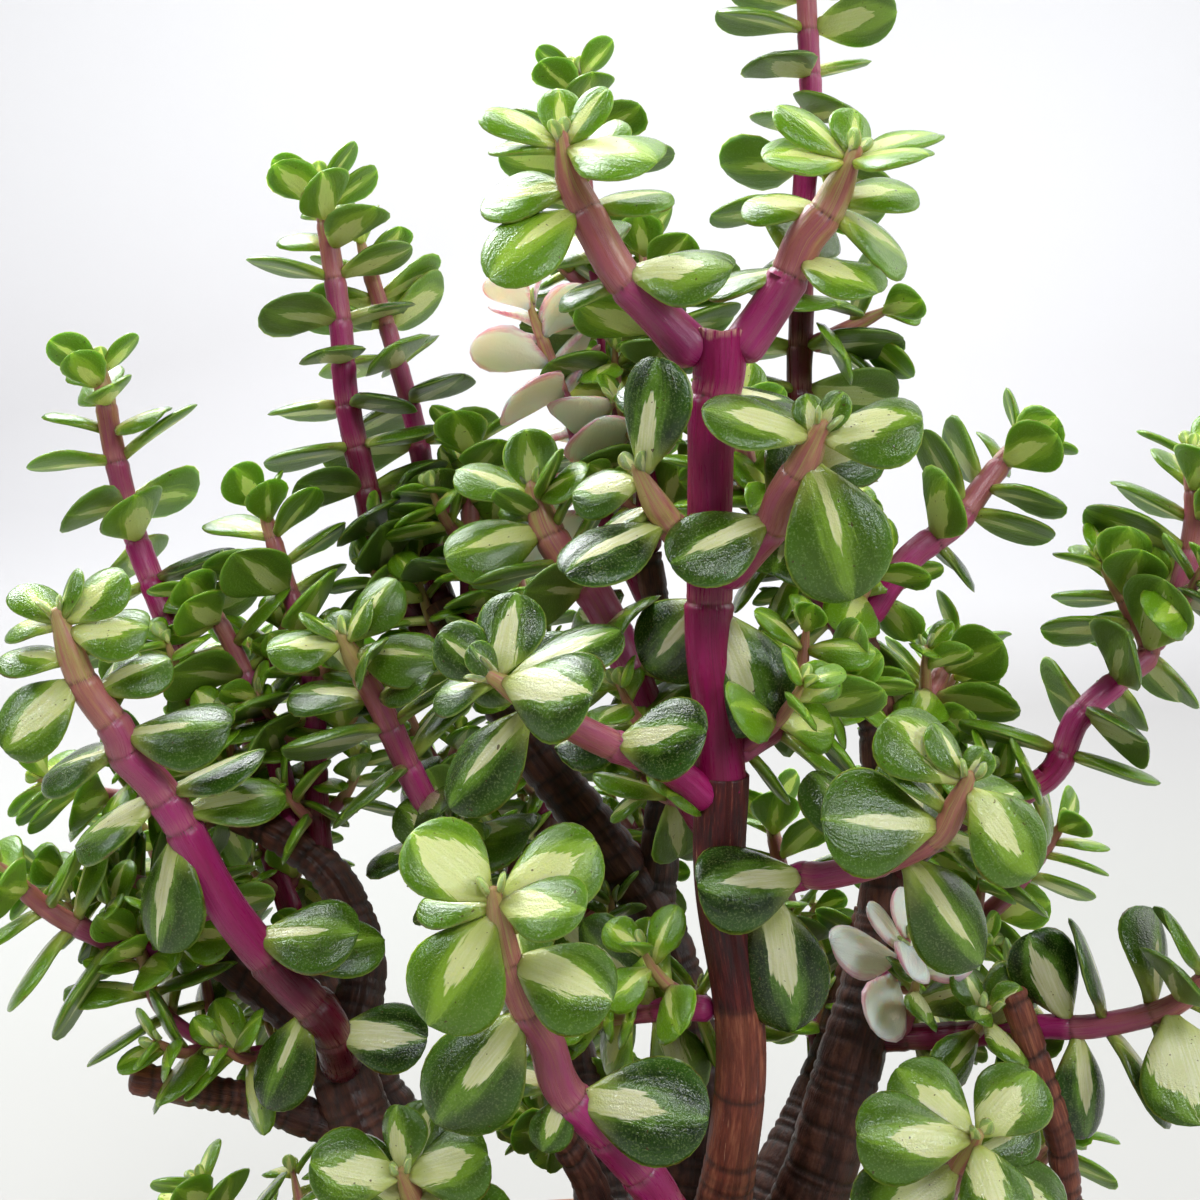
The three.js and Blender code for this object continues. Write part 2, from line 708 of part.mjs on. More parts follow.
    turn: 15,
  },
];

const colours = {
  leaf: "#4c7f26",
  stem: "#97195c",
  wood: "#5a3426",
  pot: "#8b5a3c",
  soil: "#3b2b20",
  screen: "#23262a",
};
const roughness = { leaf: 0.35, wood: 0.8, pot: 0.7, soil: 0.95, screen: 0.6 };

// Small helpers

const vector = (list) => new THREE.Vector3(...list);
const radians = THREE.MathUtils.degToRad;

// A repeatable row of numbers between 0 and 1
function seeded(seed) {
  let state = seed * 7919;
  return () => {
    state = (Math.imul(state, 1664525) + 1013904223) >>> 0;
    return state / 2 ** 32;
  };
}

function solidFrom(points, triangles) {
  const vertProperties = new Float32Array(points.flatMap((p) => [p.x, p.y, p.z]));
  const triVerts = new Uint32Array(triangles.flat());
  return new wasm.Manifold(new wasm.Mesh({ numProp: 3, vertProperties, triVerts }));
}

function solidOf(geometry) {
  const bare = geometry.clone();
  bare.deleteAttribute("normal");
  bare.deleteAttribute("uv");
  const merged = mergeVertices(bare, 1e-4);
  const vertProperties = merged.attributes.position.array;
  const triVerts = new Uint32Array(merged.index.array);
  return new wasm.Manifold(new wasm.Mesh({ numProp: 3, vertProperties, triVerts }));
}

// The largest body of a solid, without the scraps that a cut leaves
function largestBody(solid) {
  return solid.decompose().sort((a, b) => b.volume() - a.volume())[0];
}

function joined(solids) {
  return solids.reduce((whole, piece) => whole.add(piece));
}

function meshOf(name, solid, color, rough) {
  const { vertProperties, triVerts } = solid.getMesh();
  const geometry = new THREE.BufferGeometry();
  geometry.setAttribute("position", new THREE.BufferAttribute(vertProperties, 3));
  geometry.setIndex(new THREE.BufferAttribute(triVerts, 1));
  geometry.computeVertexNormals();
  const material = new THREE.MeshStandardMaterial({ color, roughness: rough, metalness: 0 });
  const made = new THREE.Mesh(geometry, material);
  made.name = name;
  return made;
}

// A stem's centre line: where it is, and which way it runs, at a share of its length
function centreLine(route) {
  const points = route.map(vector);
  const lengths = points.slice(1).map((p, i) => p.distanceTo(points[i]));
  const total = lengths.reduce((sum, part) => sum + part);
  return {
    points,
    total,
    shares: points.map((_, i) => lengths.slice(0, i).reduce((sum, part) => sum + part, 0) / total),
    at(share) {
      let left = THREE.MathUtils.clamp(share, 0, 1) * total;
      let i = 0;
      while (i < lengths.length - 1 && left > lengths[i]) left -= lengths[i++];
      const along = points[i + 1].clone().sub(points[i]).normalize();
      return { point: points[i].clone().addScaledVector(along, left), along };
    },
  };
}

// A diameter list read at a share of the stem's length
function thickAt(thick, share) {
  const place = share * (thick.length - 1);
  const i = Math.min(thick.length - 2, Math.floor(place));
  return thick[i] + (thick[i + 1] - thick[i]) * (place - i);
}

// Two directions square to `along`, turned as little as possible from `side`
function squareTo(along, side) {
  const first = side.clone().addScaledVector(along, -side.dot(along)).normalize();
  return [first, along.clone().cross(first)];
}

// A round stem with flat ends along a centre line, `grow` thicker all over
function stemSolid(stem, sides, grow = 0) {
  const { points, shares } = centreLine(stem.route);
  const rings = [];
  let side = new THREE.Vector3(0.3, -1, 0.1);
  points.forEach((point, i) => {
    const before = points[Math.max(0, i - 1)];
    const after = points[Math.min(points.length - 1, i + 1)];
    const along = after.clone().sub(before).normalize();
    const [first, second] = squareTo(along, side);
    side = first;
    const radius = thickAt(stem.thick, shares[i]) / 2 + grow;
    const end = i === 0 ? -grow : i === points.length - 1 ? grow : 0;
    const centre = point.clone().addScaledVector(along, end);
    for (let k = 0; k < sides; k++) {
      const turn = (2 * Math.PI * k) / sides;
      rings.push(
        centre
          .clone()
          .addScaledVector(first, radius * Math.cos(turn))
          .addScaledVector(second, radius * Math.sin(turn)),
      );
    }
  });
  const triangles = [];
  const last = (points.length - 1) * sides;
  for (let i = 0; i < points.length - 1; i++) {
    for (let k = 0; k < sides; k++) {
      const a = i * sides + k;
      const b = i * sides + ((k + 1) % sides);
      triangles.push([a, b, b + sides], [a, b + sides, a + sides]);
    }
  }
  for (let k = 1; k < sides - 1; k++) triangles.push([0, k + 1, k], [last, last + k, last + k + 1]);
  return solidFrom(rings, triangles);
}

// A profile of radii and heights turned round the upright axis
function turned(profile, sides) {
  const points = profile.map(([radius, height]) => new THREE.Vector2(radius, height));
  const ends = profile[0][0] === 0 ? [] : [points[0]];
  return solidOf(new THREE.LatheGeometry([...points, ...ends], sides).rotateX(Math.PI / 2));
}

function baseSolid(grow = 0) {
  const bottom = base.profile[0][1];
  const profile = base.profile.map(([radius, height]) => [
    radius && radius + grow,
    height === bottom ? bottom - grow : height,
  ]);
  return turned(profile, base.sides).translate([...base.centre, 0]);
}

// Leaves

// A cupped blade, thickest along its midrib. `grow` makes it larger all over, and `start` leaves out the
// first share of its length, where the leaves of a pair or rosette may join.
function leafSolid(leaf, grow = 0, start = leaf.start) {
  const run = leaf.tip.clone().sub(leaf.base);
  const long = run.length();
  const along = run.clone().normalize();
  const up = leaf.face.clone().addScaledVector(along, -leaf.face.dot(along)).normalize();
  const side = up.clone().cross(along);
  const grown = smallestThick + ((1 - smallestThick) * long) / leafSize.long;
  const thick = (leafSize.thick * grown) / 2 + grow;
  const end = outline.at(-1)[0];
  const place = (share, across, lift) =>
    leaf.base
      .clone()
      .addScaledVector(along, share * long + (share < end ? 0 : grow))
      .addScaledVector(side, across)
      .addScaledVector(up, lift - leafForm.arch * long * share * share);
  const rows = outline.filter(([share]) => share > start);
  const rim = (sign) =>
    rows.map(([share, half]) => {
      return place(share, sign * (half * leaf.wide + grow), leafForm.fold * leaf.wide * half);
    });
  const edge = [place(start, 0, 0), ...rim(-1), ...rim(1).reverse()];
  const top = edge.length;
  const points = [...edge, place(thickest, 0, thick), place(thickest, 0, -thick)];
  const face = edge.map((_, i) => [i, (i + 1) % top, top]);
  const under = edge.map((_, i) => [(i + 1) % top, i, top + 1]);
  return solidFrom(points, [...face, ...under]);
}

// Leaves that follow the plant's own rule, before they are fitted
function pairedLeaves(stem) {
  const { line, thick, random } = stem;
  const wanted = [];
  const spread = (range) => range * (random() - 0.5);
  let back = thickAt(thick, 1) / 2;
  for (let pair = 0; pair < stem.pairs; pair++) {
    const grown = Math.min(1, growth.firstSize + growth.sizeStep * pair);
    const share = 1 - back / line.total;
    if (share < growth.bareShare) break;
    const { point, along } = line.at(share);
    const [first, second] = squareTo(along, new THREE.Vector3(1, 0, 0.2));
    const turn = radians(stem.turn + 90 * pair + spread(growth.wobble));
    for (const half of [0, Math.PI]) {
      const long = leafSize.long * grown * (1 + spread(growth.sizeSpread));
      const steps = Math.min(pair, growth.leanSteps);
      const lean = radians(growth.firstLean + growth.leanStep * steps + spread(growth.wobble));
      const roll = spread(growth.roll);
      const start = (sunk * thickAt(thick, share)) / 2 / long;
      const droop = growth.droop * random();
      wanted.push({ point, along, first, second, turn: turn + half, lean, long, start, roll, droop });
    }
    back += growth.internode * Math.min(1, growth.firstStep + growth.stepMore * pair);
  }
  return wanted;
}

// The ways a leaf of a pair may be bent to stand clear, the plainest first
function waysOfPaired(wanted) {
  const { point, along, first, second, droop, roll } = wanted;
  const ways = [];
  for (let i = 0; i < bending.tries; i++) {
    const sign = i % 2 ? 1 : -1;
    const turn = wanted.turn + radians(sign * bending.turn * Math.ceil(i / 2));
    const lean = wanted.lean + (i < bending.leanFrom ? 0 : radians(sign * bending.lean));
    const long = wanted.long * (i < bending.smallFrom ? 1 : bending.small);
    const out = first
      .clone()
      .multiplyScalar(Math.cos(turn))
      .addScaledVector(second, Math.sin(turn));
    const run = along
      .clone()
      .multiplyScalar(Math.cos(lean))
      .addScaledVector(out, Math.sin(lean))
      .add(new THREE.Vector3(0, 0, -droop))
      .normalize();
    const outward = new THREE.Vector3(point.x - base.centre[0], point.y - base.centre[1], 0).normalize();
    const face = along
      .clone()
      .add(new THREE.Vector3(0, 0, growth.lift))
      .addScaledVector(outward, growth.outward)
      .addScaledVector(run.clone().cross(along), roll);
    const wide = leafSize.wide * (long / leafSize.long);
    const tip = point.clone().addScaledVector(run, long);
    ways.push({ base: point, tip, face, wide, start: wanted.start * (wanted.long / long) });
  }
  return ways;
}

// The ways a leaf set by eye may be bent, the plainest first
function waysOfSet(leaf, stem) {
  const highest = 1 - thickAt(stem.thick, 1) / 2 / stem.line.total;
  const { point } = stem.line.at(Math.min(leaf.at, highest));
  const start = (sunk * thickAt(stem.thick, leaf.at)) / 2 / vector(leaf.tip).length();
  return bends.map((bend) => ({
    base: point,
    tip: point.clone().add(vector(leaf.tip)).add(new THREE.Vector3(0, bend, 0)),
    face: vector(leaf.face),
    wide: leaf.wide,
    start,
    setByEye: true,
  }));
}

function boxesMeet(a, b) {
  return [0, 1, 2].every((i) => a.min[i] < b.max[i] && b.min[i] < a.max[i]);
}

function crosses(a, b) {
  if (!boxesMeet(a.box, b.box)) return false;
  const shared = a.solid.intersect(b.solid);
  const meets = !shared.isEmpty();
  shared.delete();
  return meets;
}

function boxed(solid) {
  return { solid, box: solid.boundingBox() };
}

// Building

const wood = joined([baseSolid(), ...limbs.map((limb) => stemSolid(limb, woodSides))]);
const woodAround = joined([baseSolid(), ...limbs.map((limb) => stemSolid(limb, woodSides, gap))]);
const woodBox = boxed(wood);

for (const [index, stem] of stems.entries()) {
  stem.line = centreLine(stem.route);
  stem.room = boxed(stemSolid(stem, sidesOf(stem), gap));
  const carrier = stems.find((other) => other.name === stem.on);
  stem.around = carrier ? carrier.room.solid : woodAround;
  stem.tube = boxed(largestBody(stemSolid(stem, sidesOf(stem)).subtract(stem.around)));
  for (const earlier of stems.slice(0, index)) {
    if (earlier === carrier || !crosses(stem.tube, earlier.room)) continue;
    stem.around = stem.around.add(earlier.room.solid);
    stem.tube = boxed(largestBody(stem.tube.solid.subtract(earlier.room.solid)));
  }
  stem.kept = [];
  stem.random = seeded(index + 1);
}

// A leaf stands clear of the wood, of every other stem and its leaves, and of its own stem and its
// neighbours on it past the point where they join
function standsClear(leaf, own) {
  const whole = boxed(leafSolid(leaf, gap));
  const outer = boxed(leafSolid(leaf, gap, neck));
  const clear =
    !crosses(whole, woodBox) &&
    (leaf.setByEye || !crosses(outer, own.tube)) &&
    stems.every((other) =>
      other === own
        ? own.kept.every((kept) => !crosses(outer, kept.outer))
        : !crosses(whole, other.tube) && other.kept.every((kept) => !crosses(whole, kept.whole)),
    );
  whole.solid.delete();
  outer.solid.delete();
  return clear;
}

// Keeps the first way that stands clear, or leaves the leaf out
function keepFirstClear(ways, own) {
  const leaf = ways.find((way) => standsClear(way, own));
  if (leaf) own.kept.push({ whole: boxed(leafSolid(leaf)), outer: boxed(leafSolid(leaf, 0, neck)) });
}

for (const stem of stems) {
  for (const leaf of stem.leaves ?? []) keepFirstClear(waysOfSet(leaf, stem), stem);
}

for (const stem of stems) {
  for (const wanted of pairedLeaves(stem)) {
    const ways = waysOfPaired(wanted);
    const rear = ways.filter((way) => way.tip.y - way.base.y > viewerReach);
    keepFirstClear(stem.rear ? rear : ways, stem);
  }
}

const bonsai = new THREE.Group();

for (const stem of stems) {
  const grown = joined([stemSolid(stem, sidesOf(stem)), ...stem.kept.map((kept) => kept.whole.solid)]);
  const fitted = largestBody(grown.subtract(stem.around));
  const colour = stem.name === "main_stem" ? colours.stem : colours.leaf;
  bonsai.add(meshOf(stem.name, fitted, colour, roughness.leaf));
}

// The pot, its drainage mesh and the soil

function box(width, depth, height) {
  return new THREE.BoxGeometry(width, depth, height);
}

// The radius of the pot's inside at its floor
const innerFloor = pot.footRadius + pot.flare - pot.wall;
const innerBelly = pot.rimRadius - pot.lipDepth - pot.belly - pot.wall;
const innerRim = pot.rimRadius - pot.lipDepth - pot.wall;
const floorLevel = pot.footHeight + pot.floor;

function potSolid() {
  const { rimRadius, footRadius, height, lipHeight, lipDepth, footHeight, footWidth } = pot;
  const shell = turned(
    [
      [pot.drainRadius, footHeight],
      [footRadius - footWidth, footHeight],
      [footRadius - footWidth, 0],
      [footRadius, 0],
      [footRadius + pot.flare, footHeight],
      [rimRadius - lipDepth - pot.belly, pot.bellyHeight],
      [rimRadius - lipDepth, height - lipHeight],
      [rimRadius, height - lipHeight],
      [rimRadius, height],
      [innerRim, height],
      [innerBelly, pot.bellyHeight],
      [innerFloor, floorLevel],
      [pot.drainRadius, floorLevel],
    ],
    pot.sides,
  );
  const notch = (turn) => solidOf(box(3 * rimRadius, pot.footGap, 2 * footHeight).rotateZ(turn));
  return shell.subtract(notch(0)).subtract(notch(Math.PI / 2));
}

function drainMeshSolid() {
  const { radius, thick, bar, slots, sides } = screen;
  const plate = solidOf(new THREE.CylinderGeometry(radius, radius, thick, sides).rotateX(Math.PI / 2));
  const pitch = (2 * pot.drainRadius) / slots;
  const middle = (slots - 1) / 2;
  const holes = [];
  for (let i = 0; i < slots; i++) {
    for (let k = 0; k < slots; k++) {
      const hole = box(pitch - bar / 2, pitch - bar / 2, 2 * thick);
      holes.push(solidOf(hole.translate((i - middle) * pitch, (k - middle) * pitch, 0)));
    }
  }
  return plate.subtract(joined(holes)).translate([0, 0, floorLevel + gap + thick / 2]);
}

// The soil stands clear of the pot and its drain mesh, with a plain hole for the base of the wood
function soilSolid() {
  const bottom = floorLevel + gap;
  const edge = pot.height - soil.below;
  const screenTop = bottom + screen.thick + gap;
  const belowRim = soil.below / (pot.height - pot.bellyHeight);
  const ground = turned(
    [
      [0, screenTop],
      [screen.radius + gap, screenTop],
      [screen.radius + gap, bottom],
      [innerFloor - gap, bottom],
      [innerBelly - gap, pot.bellyHeight],
      [innerRim - pot.belly * belowRim - gap, edge],
      [soil.shoulder * pot.rimRadius, edge + soil.shoulderShare * soil.crown],
      [0, edge + soil.crown],
    ],
    pot.sides,
  );
  return largestBody(ground.subtract(baseSolid(gap)).subtract(woodAround));
}

bonsai.add(meshOf("wood", wood, colours.wood, roughness.wood));
bonsai.add(meshOf("pot", potSolid(), colours.pot, roughness.pot));
bonsai.add(meshOf("drain_mesh", drainMeshSolid(), colours.screen, roughness.screen));
bonsai.add(meshOf("soil", soilSolid(), colours.soil, roughness.soil));

// The whole stands with the middle of its foot print on the origin
const reach = new THREE.Box3().setFromObject(bonsai, true);
const middle = reach.getCenter(new THREE.Vector3());
bonsai.position.set(-middle.x, -middle.y, -reach.min.z);

export default bonsai;
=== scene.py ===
"""Rainbow elephant bush bonsai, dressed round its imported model.

Shapes are worked out in millimetres in the plant's own frame, with the pot's middle on the Z axis, +X to the
right and +Y away from the viewer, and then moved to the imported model's frame in metres.
"""

import math

import bpy
import numpy as np
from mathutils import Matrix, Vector
from mathutils.kdtree import KDTree


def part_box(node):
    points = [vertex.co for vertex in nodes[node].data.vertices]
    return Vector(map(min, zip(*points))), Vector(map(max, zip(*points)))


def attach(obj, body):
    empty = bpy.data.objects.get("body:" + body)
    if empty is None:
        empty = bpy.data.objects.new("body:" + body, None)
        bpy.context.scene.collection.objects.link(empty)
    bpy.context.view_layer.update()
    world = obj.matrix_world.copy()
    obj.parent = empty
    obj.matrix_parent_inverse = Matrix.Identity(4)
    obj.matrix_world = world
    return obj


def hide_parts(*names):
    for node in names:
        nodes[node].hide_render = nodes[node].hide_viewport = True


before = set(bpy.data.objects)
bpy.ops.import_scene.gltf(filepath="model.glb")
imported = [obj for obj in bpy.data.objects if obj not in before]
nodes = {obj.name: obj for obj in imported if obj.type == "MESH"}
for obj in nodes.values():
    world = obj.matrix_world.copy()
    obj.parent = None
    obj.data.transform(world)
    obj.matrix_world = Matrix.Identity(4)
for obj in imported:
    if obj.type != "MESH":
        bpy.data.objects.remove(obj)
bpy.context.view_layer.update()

MM = 0.001
pot_low, pot_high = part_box("pot")
SHIFT = np.array([(pot_low.x + pot_high.x) / 2, (pot_low.y + pot_high.y) / 2, 0.0]) / MM

# Camera: the photo's frame is square
LENS = 50.2
SENSOR = 36
EYE = (0, -247, 233)
PITCH = 8.85  # degrees down

# Lights, in metres: name, place, what it faces, size, power and colour
CROWN = (0.0, 0.0, 0.18)
SKY_LIGHTS, SKY_SHOWS = 0.14, 0.75
SKY, SHEEN, WHITE = (0.93, 0.97, 1.0), (0.87, 0.94, 1.0), (1, 1, 1)
LIGHTS = [
    ("window", (-0.5, 0.55, 0.95), CROWN, (0.75, 0.6), 18.5, SKY),
    ("front_fill", (0.09, -0.74, 0.92), CROWN, (0.25, 0.25), 3.8, SKY),
    ("right_sheen", (0.61, -0.59, 0.58), CROWN, (0.28, 0.28), 3.5, SHEEN),
    ("left_sheen", (-0.79, -0.17, 0.68), CROWN, (0.22, 0.22), 2.2, SHEEN),
    ("right_rim", (0.8, 0.25, 0.6), CROWN, (0.5, 0.7), 3, WHITE),
    ("backdrop_light", (0.0, 0.9, 1.9), (0.0, 1.7, 0.3), (2.2, 0.6), 36, WHITE),
]

# The part's own leaf rule, repeated so that each finer leaf lies where its solid is
LEAF_LONG, LEAF_WIDE, LEAF_THICK = 16, 12.5, 1.9
FOLD, ARCH = 0.1, 0.07
RIM_END = (0.96, 0.27)  # how far along a leaf its last rim corners are, and half its width there
SUNK = 0.6
BASE_CENTRE = (7, 1)
GROWTH = {
    "first_size": 0.58,  # of the pair next to the tip
    "size_step": 0.2,  # more for each pair further down
    "size_spread": 0.2,
    "first_lean": 38,  # degrees from the stem
    "lean_step": 13,
    "lean_steps": 3,
    "wobble": 14,  # degrees
    "roll": 1.2,
    "lift": 0.5,  # how much a leaf's upper side faces up
    "outward": 0.9,  # and how much away from the plant's middle
    "internode": 15,
    "first_step": 0.35,  # of an internode
    "step_more": 0.3,
    "bare_share": 0.3,  # of a stem's lower end
}
# Ways tried for a leaf: turned further each time, from some try on leaned too, and then smaller
BENDING = {"tries": 12, "turn": 14, "lean_from": 6, "lean": 12, "small_from": 8, "small": 0.85}
SET_BENDS = (0, -2, 2, -4, 4, -6, 6, -8, 8)
REAR_REACH = 1  # the least that a leaf points to the back on a `rear` stem
FOUND_WITHIN = 0.3  # of a rim corner of the solid, in millimetres

# Finer leaves
WIDEST, LEAF_END = 0.62, 0.998  # how far along a leaf
GROOVE, GROOVE_HALF = 0.42, 0.8  # a leaf's groove over its midrib: depth and half its width
FLAT_CUP, FLAT_ARCH = -0.05, 0.05  # of the leaves that lie flat and shine all over
LEAF_SLOT, UNDER_SLOT, STEM_SLOT = 0, 1, 2  # materials of a leafy stem
CUP, FRESH_CUP = (-0.25, -0.08), 0.15  # how cupped a leaf is: its range, and more where it is young
MORE_ARCH = (0.02, 0.08)
NOTCH, TWIST, SIDE_LEAN = (-0.012, 0.018), (-0.11, 0.11), (-0.035, 0.035)
BUD_LONG, BUD_SPREAD, BUD_WIDE = 2.9, (0.85, 1.15), 0.85
BUD_OPEN = (0.25, 0.55)  # how far an opening leaf leans from its stem
FRESH_REACH = 28  # how far from the tip leaves still look young
YOUNG_BY_CHANCE, YOUNG_BY_CHANCE_OTHERS = 0.45, 0.85  # how young, at most, leaves further down look

# Leaves between the ones of the solids, and side twigs inside the crown
MOST_POINTS = 20000
CLEARANCE = 2.6
PROBE_LOW, PROBE_SIDE = 0.38, 0.42  # where a leaf's space is probed, as shares of its length and width
BETWEEN_PAIRS, BETWEEN_BARE = 9, 0.24
TWIG_FROM, TWIG_STEP = 0.12, 11
TWIG_LONG = (9, 7)  # least, and more by chance
TWIG_SHIFT = 0.02
TWIG_HEADING = (0.5, 0.85, 0.3)  # along the stem, out of it and up
TWIG_BEND, TWIG_RISE = 0.55, 0.5  # how far along it bends up, and by how much
TWIG_PAIRS = (0.8, 3.6, 7.6)
TWIG_LEAST = 3  # leaves that must find room

# Stems and limbs
STEM_SIDES, TWIG_SIDES, LIMB_SIDES, BASE_SIDES = 18, 10, 30, 64
STEM_STEP, LIMB_STEP = 1.6, 0.5
CURVE_STEPS = 12  # on each stretch of a route
NEAR_MARK = (-2, -0.9, -0.3, -0.12, 0, 0.12, 0.3, 0.6, 1, 1.5, 2.2, 3)  # rings about a node
NEAR_TWIG_MARK = (-0.9, 0, 0.3, 0.9, 1.8)
CLOSEST = 0.1
SCAR_GAP = (1.5, 3.6)
NODE_GAP = 5
NODE_BUMPS = [(-0.9, 1.1), (0, 0.34), (0.9, 1.2)]  # under, at and over a node: how far past it, and width
NODE_SWELLS = (0.06, -0.07, -0.02)
BARE_NODE = 8  # between the scars on a bare length of stem
LOWEST_NODE = 9  # the least height of a scar above a stem's own root
FOOT_BULGE = 0.08
TORN = 0.9  # height of the ragged edge of a cut stem
DRY_EDGE = 0.4  # how far down from a cut the skin is dry and pale
TAPER, TAPER_LONG = 0.42, 3.2  # how a stem narrows to its tip
AGE_LENGTH = 62  # the length over which bark turns from peach to old magenta
AGE_JITTER = 0.09
AGE_BY_NODE = 0.6
SCAR_DEPTH, SCAR_WIDTH = (0.45, 1.35), 0.42
SMOOTH_FADE = 12  # over which a limb turns smooth
WOOD_BOTTOM = [
    (15, 30), (17, 44), (20, 51), (18.5, 55), (15.5, 59), (12.5, 64), (9, 70), (4, 73), (0.5, 73.6),
]

# Pot, soil and drain mesh
POT = {
    "rim": 78,
    "foot": 62,
    "height": 57,
    "wall": 6,
    "floor": 7,
    "lip_height": 8,
    "lip_depth": 3,
    "belly_height": 31,
    "belly": 3,
    "flare": 3,
    "foot_height": 7,
    "foot_width": 11,
    "foot_gap": 26,
    "drain": 8,
}
POT_SIDES, FOOT_STEPS = 144, 20
POT_ROUND, FOOT_ROUND = 1.6, 0.8
SOIL_BELOW, SOIL_CROWN = 6, 5
SHOULDER, SHOULDER_SHARE = 0.55, 0.8
GRIT = 1500
STONE_SIZE, STONE_ODDS = (0.55, 1.5), 2.2  # least, and more by chance; most are small
WOOD_CLEAR = 19  # no stone lies nearer the middle of the wood


# Small vector helpers


def vec(values):
    return np.array(values, float)


def unit(values):
    return values / np.linalg.norm(values)


def thick_at(thick, share):
    place = share * (len(thick) - 1)
    i = min(len(thick) - 2, int(place))
    return thick[i] + (thick[i + 1] - thick[i]) * (place - i)


def square_to(along, side):
    first = unit(side - along * np.dot(side, along))
    return first, np.cross(along, first)


def outwards(along, turn):
    """The way out of a stem at `turn` round it."""
    first, second = square_to(along, vec((1, 0, 0.2)))
    return first * math.cos(turn) + second * math.sin(turn)


def round_turns(sides):
    return 2 * math.pi * np.arange(sides) / sides


def between(draw, low, high):
    return low + (high - low) * draw.random()


def seeded(seed):
    """The part's repeatable row of numbers between 0 and 1."""
    state = seed * 7919
    while True:
        state = (state * 1664525 + 1013904223) & 0xFFFFFFFF
        yield state / 2**32


class Line:
    """A stem's centre line, as straight stretches."""

    def __init__(self, route):
        self.points = [vec(p) for p in route]
        self.lengths = [np.linalg.norm(b - a) for a, b in zip(self.points, self.points[1:])]
        self.total = sum(self.lengths)

    def at(self, share):
        left = min(max(share, 0), 1) * self.total
        i = 0
        while i < len(self.lengths) - 1 and left > self.lengths[i]:
            left -= self.lengths[i]
            i += 1
        along = unit(self.points[i + 1] - self.points[i])
        return self.points[i] + along * left, along


# The plant's wood and stems: each one's diameters spread along it, then the points of its centre line

LIMB = {"smooth_top": 0, "rings_from_top": [], "ruddy": 0.35, "stub": False}
STEM = {
    "leaves": [],
    "leaf_scale": 1,
    "droop": 0.25,
    "rear": False,  # leaves by rule only at the back
    "seen": True,  # in the photo; the others get fewer faces
    "cut": False,
    "foot": 1.8,  # how far along its line a side stem's round base starts
    "older": 0,
    "aging": 1,
    "twigs_to": 0.6,
}
TWIG = {
    "thick": [2.4, 2.0, 1.6],
    "leaf_scale": 0.74,
    "droop": 0.5,
    "foot": 0.6,
    "cut": False,
    "older": 0,
    "aging": 1.6,
    "fine": 0,
}


def new_limb(thick, *route, **looks):
    return {**LIMB, "thick": thick, "route": route, **looks}


def new_stem(name, thick, pairs, turn, *route, **looks):
    """A stem with so many pairs of leaves by the plant's own rule, the first turned by `turn` degrees."""
    own = {"name": name, "thick": thick, "pairs": pairs, "turn": turn, "route": route, "line": Line(route)}
    return {**STEM, **own, **looks}


# Woody limbs, oldest first
LIMBS = [
    # front limb, which the main stem crowns
    new_limb(
        [18, 13, 9, 7.6, 7.3, 7.3, 7.6], (9, -3, 58), (12, -9, 77), (17, -15, 100), (20, -18, 122),
        (20, -19, 137), (17, -20, 157), (17, -20, 173), smooth_top=58, rings_from_top=[34, 48], ruddy=0.9,
    ),
    # left limb, low and heavy
    new_limb(
        [20, 16, 13, 11.6, 10.8, 9.6, 7.6], (1, 0, 56), (-12, 3, 72), (-28, 5, 90), (-38, 7, 107),
        (-44, 10, 121), (-53, 12, 129), (-64, 14, 136),
    ),
    # pruned stub on the left limb
    new_limb(
        [7, 5.6, 5.2], (-38, 8, 105), (-55, 6, 112), (-64, 4, 115), (-73, 2, 118), stub=True, ruddy=0.95,
    ),
    # upright fork of the left limb
    new_limb([8.4, 7.2, 5.6], (-42, 10, 117), (-39, 16, 131), (-43, 18, 144), (-51, 20, 151), (-60, 22, 155)),
    # back centre limb, which leans to the left
    new_limb(
        [18, 13, 10, 8.6, 7.4, 5.4], (8, 4, 58), (12, 8, 80), (15, 10, 104), (15, 11, 117), (10, 16, 137),
        (0, 20, 152), (-9, 23, 163), (-18, 27, 175), (-27, 32, 189),
    ),
    # upright fork of the back centre limb
    new_limb([7, 5.6, 4.6], (9, 17, 140), (11, 23, 163), (10, 27, 182), (8, 28, 198)),
    # short pruned limb at the front
    new_limb([9, 5.6, 4.8], (8, -6, 66), (2, -7, 88), (-1, -8, 104), (-7, -11, 117), stub=True),
    # right limb
    new_limb(
        [18, 13, 10.8, 9, 7, 5], (12, 2, 58), (24, 3, 78), (34, 4, 98), (40, 6, 119), (46, 14, 140),
        (46, 17, 158), (45, 18, 172), (40, 18, 191),
    ),
    # far right limb, pruned at its top
    new_limb(
        [15, 8.5, 5.2, 4.4, 4.1], (13, 0, 58), (38, -4, 72), (58, -7, 83), (70, -9, 97), (70, -10, 111),
        (66, -10, 124), (62, -8, 136), stub=True, ruddy=0.95,
    ),
    # back limb
    new_limb([17, 10, 7.6, 5.2], (5, 6, 58), (2, 24, 78), (-4, 42, 99), (-8, 56, 122), (-10, 64, 142)),
    # back right limb
    new_limb([14, 9, 5.2], (10, 6, 58), (28, 26, 82), (42, 42, 104), (50, 52, 128)),
    # back left limb
    new_limb([13, 8.4, 5], (2, 4, 58), (-26, 26, 86), (-44, 38, 108), (-56, 44, 130)),
]

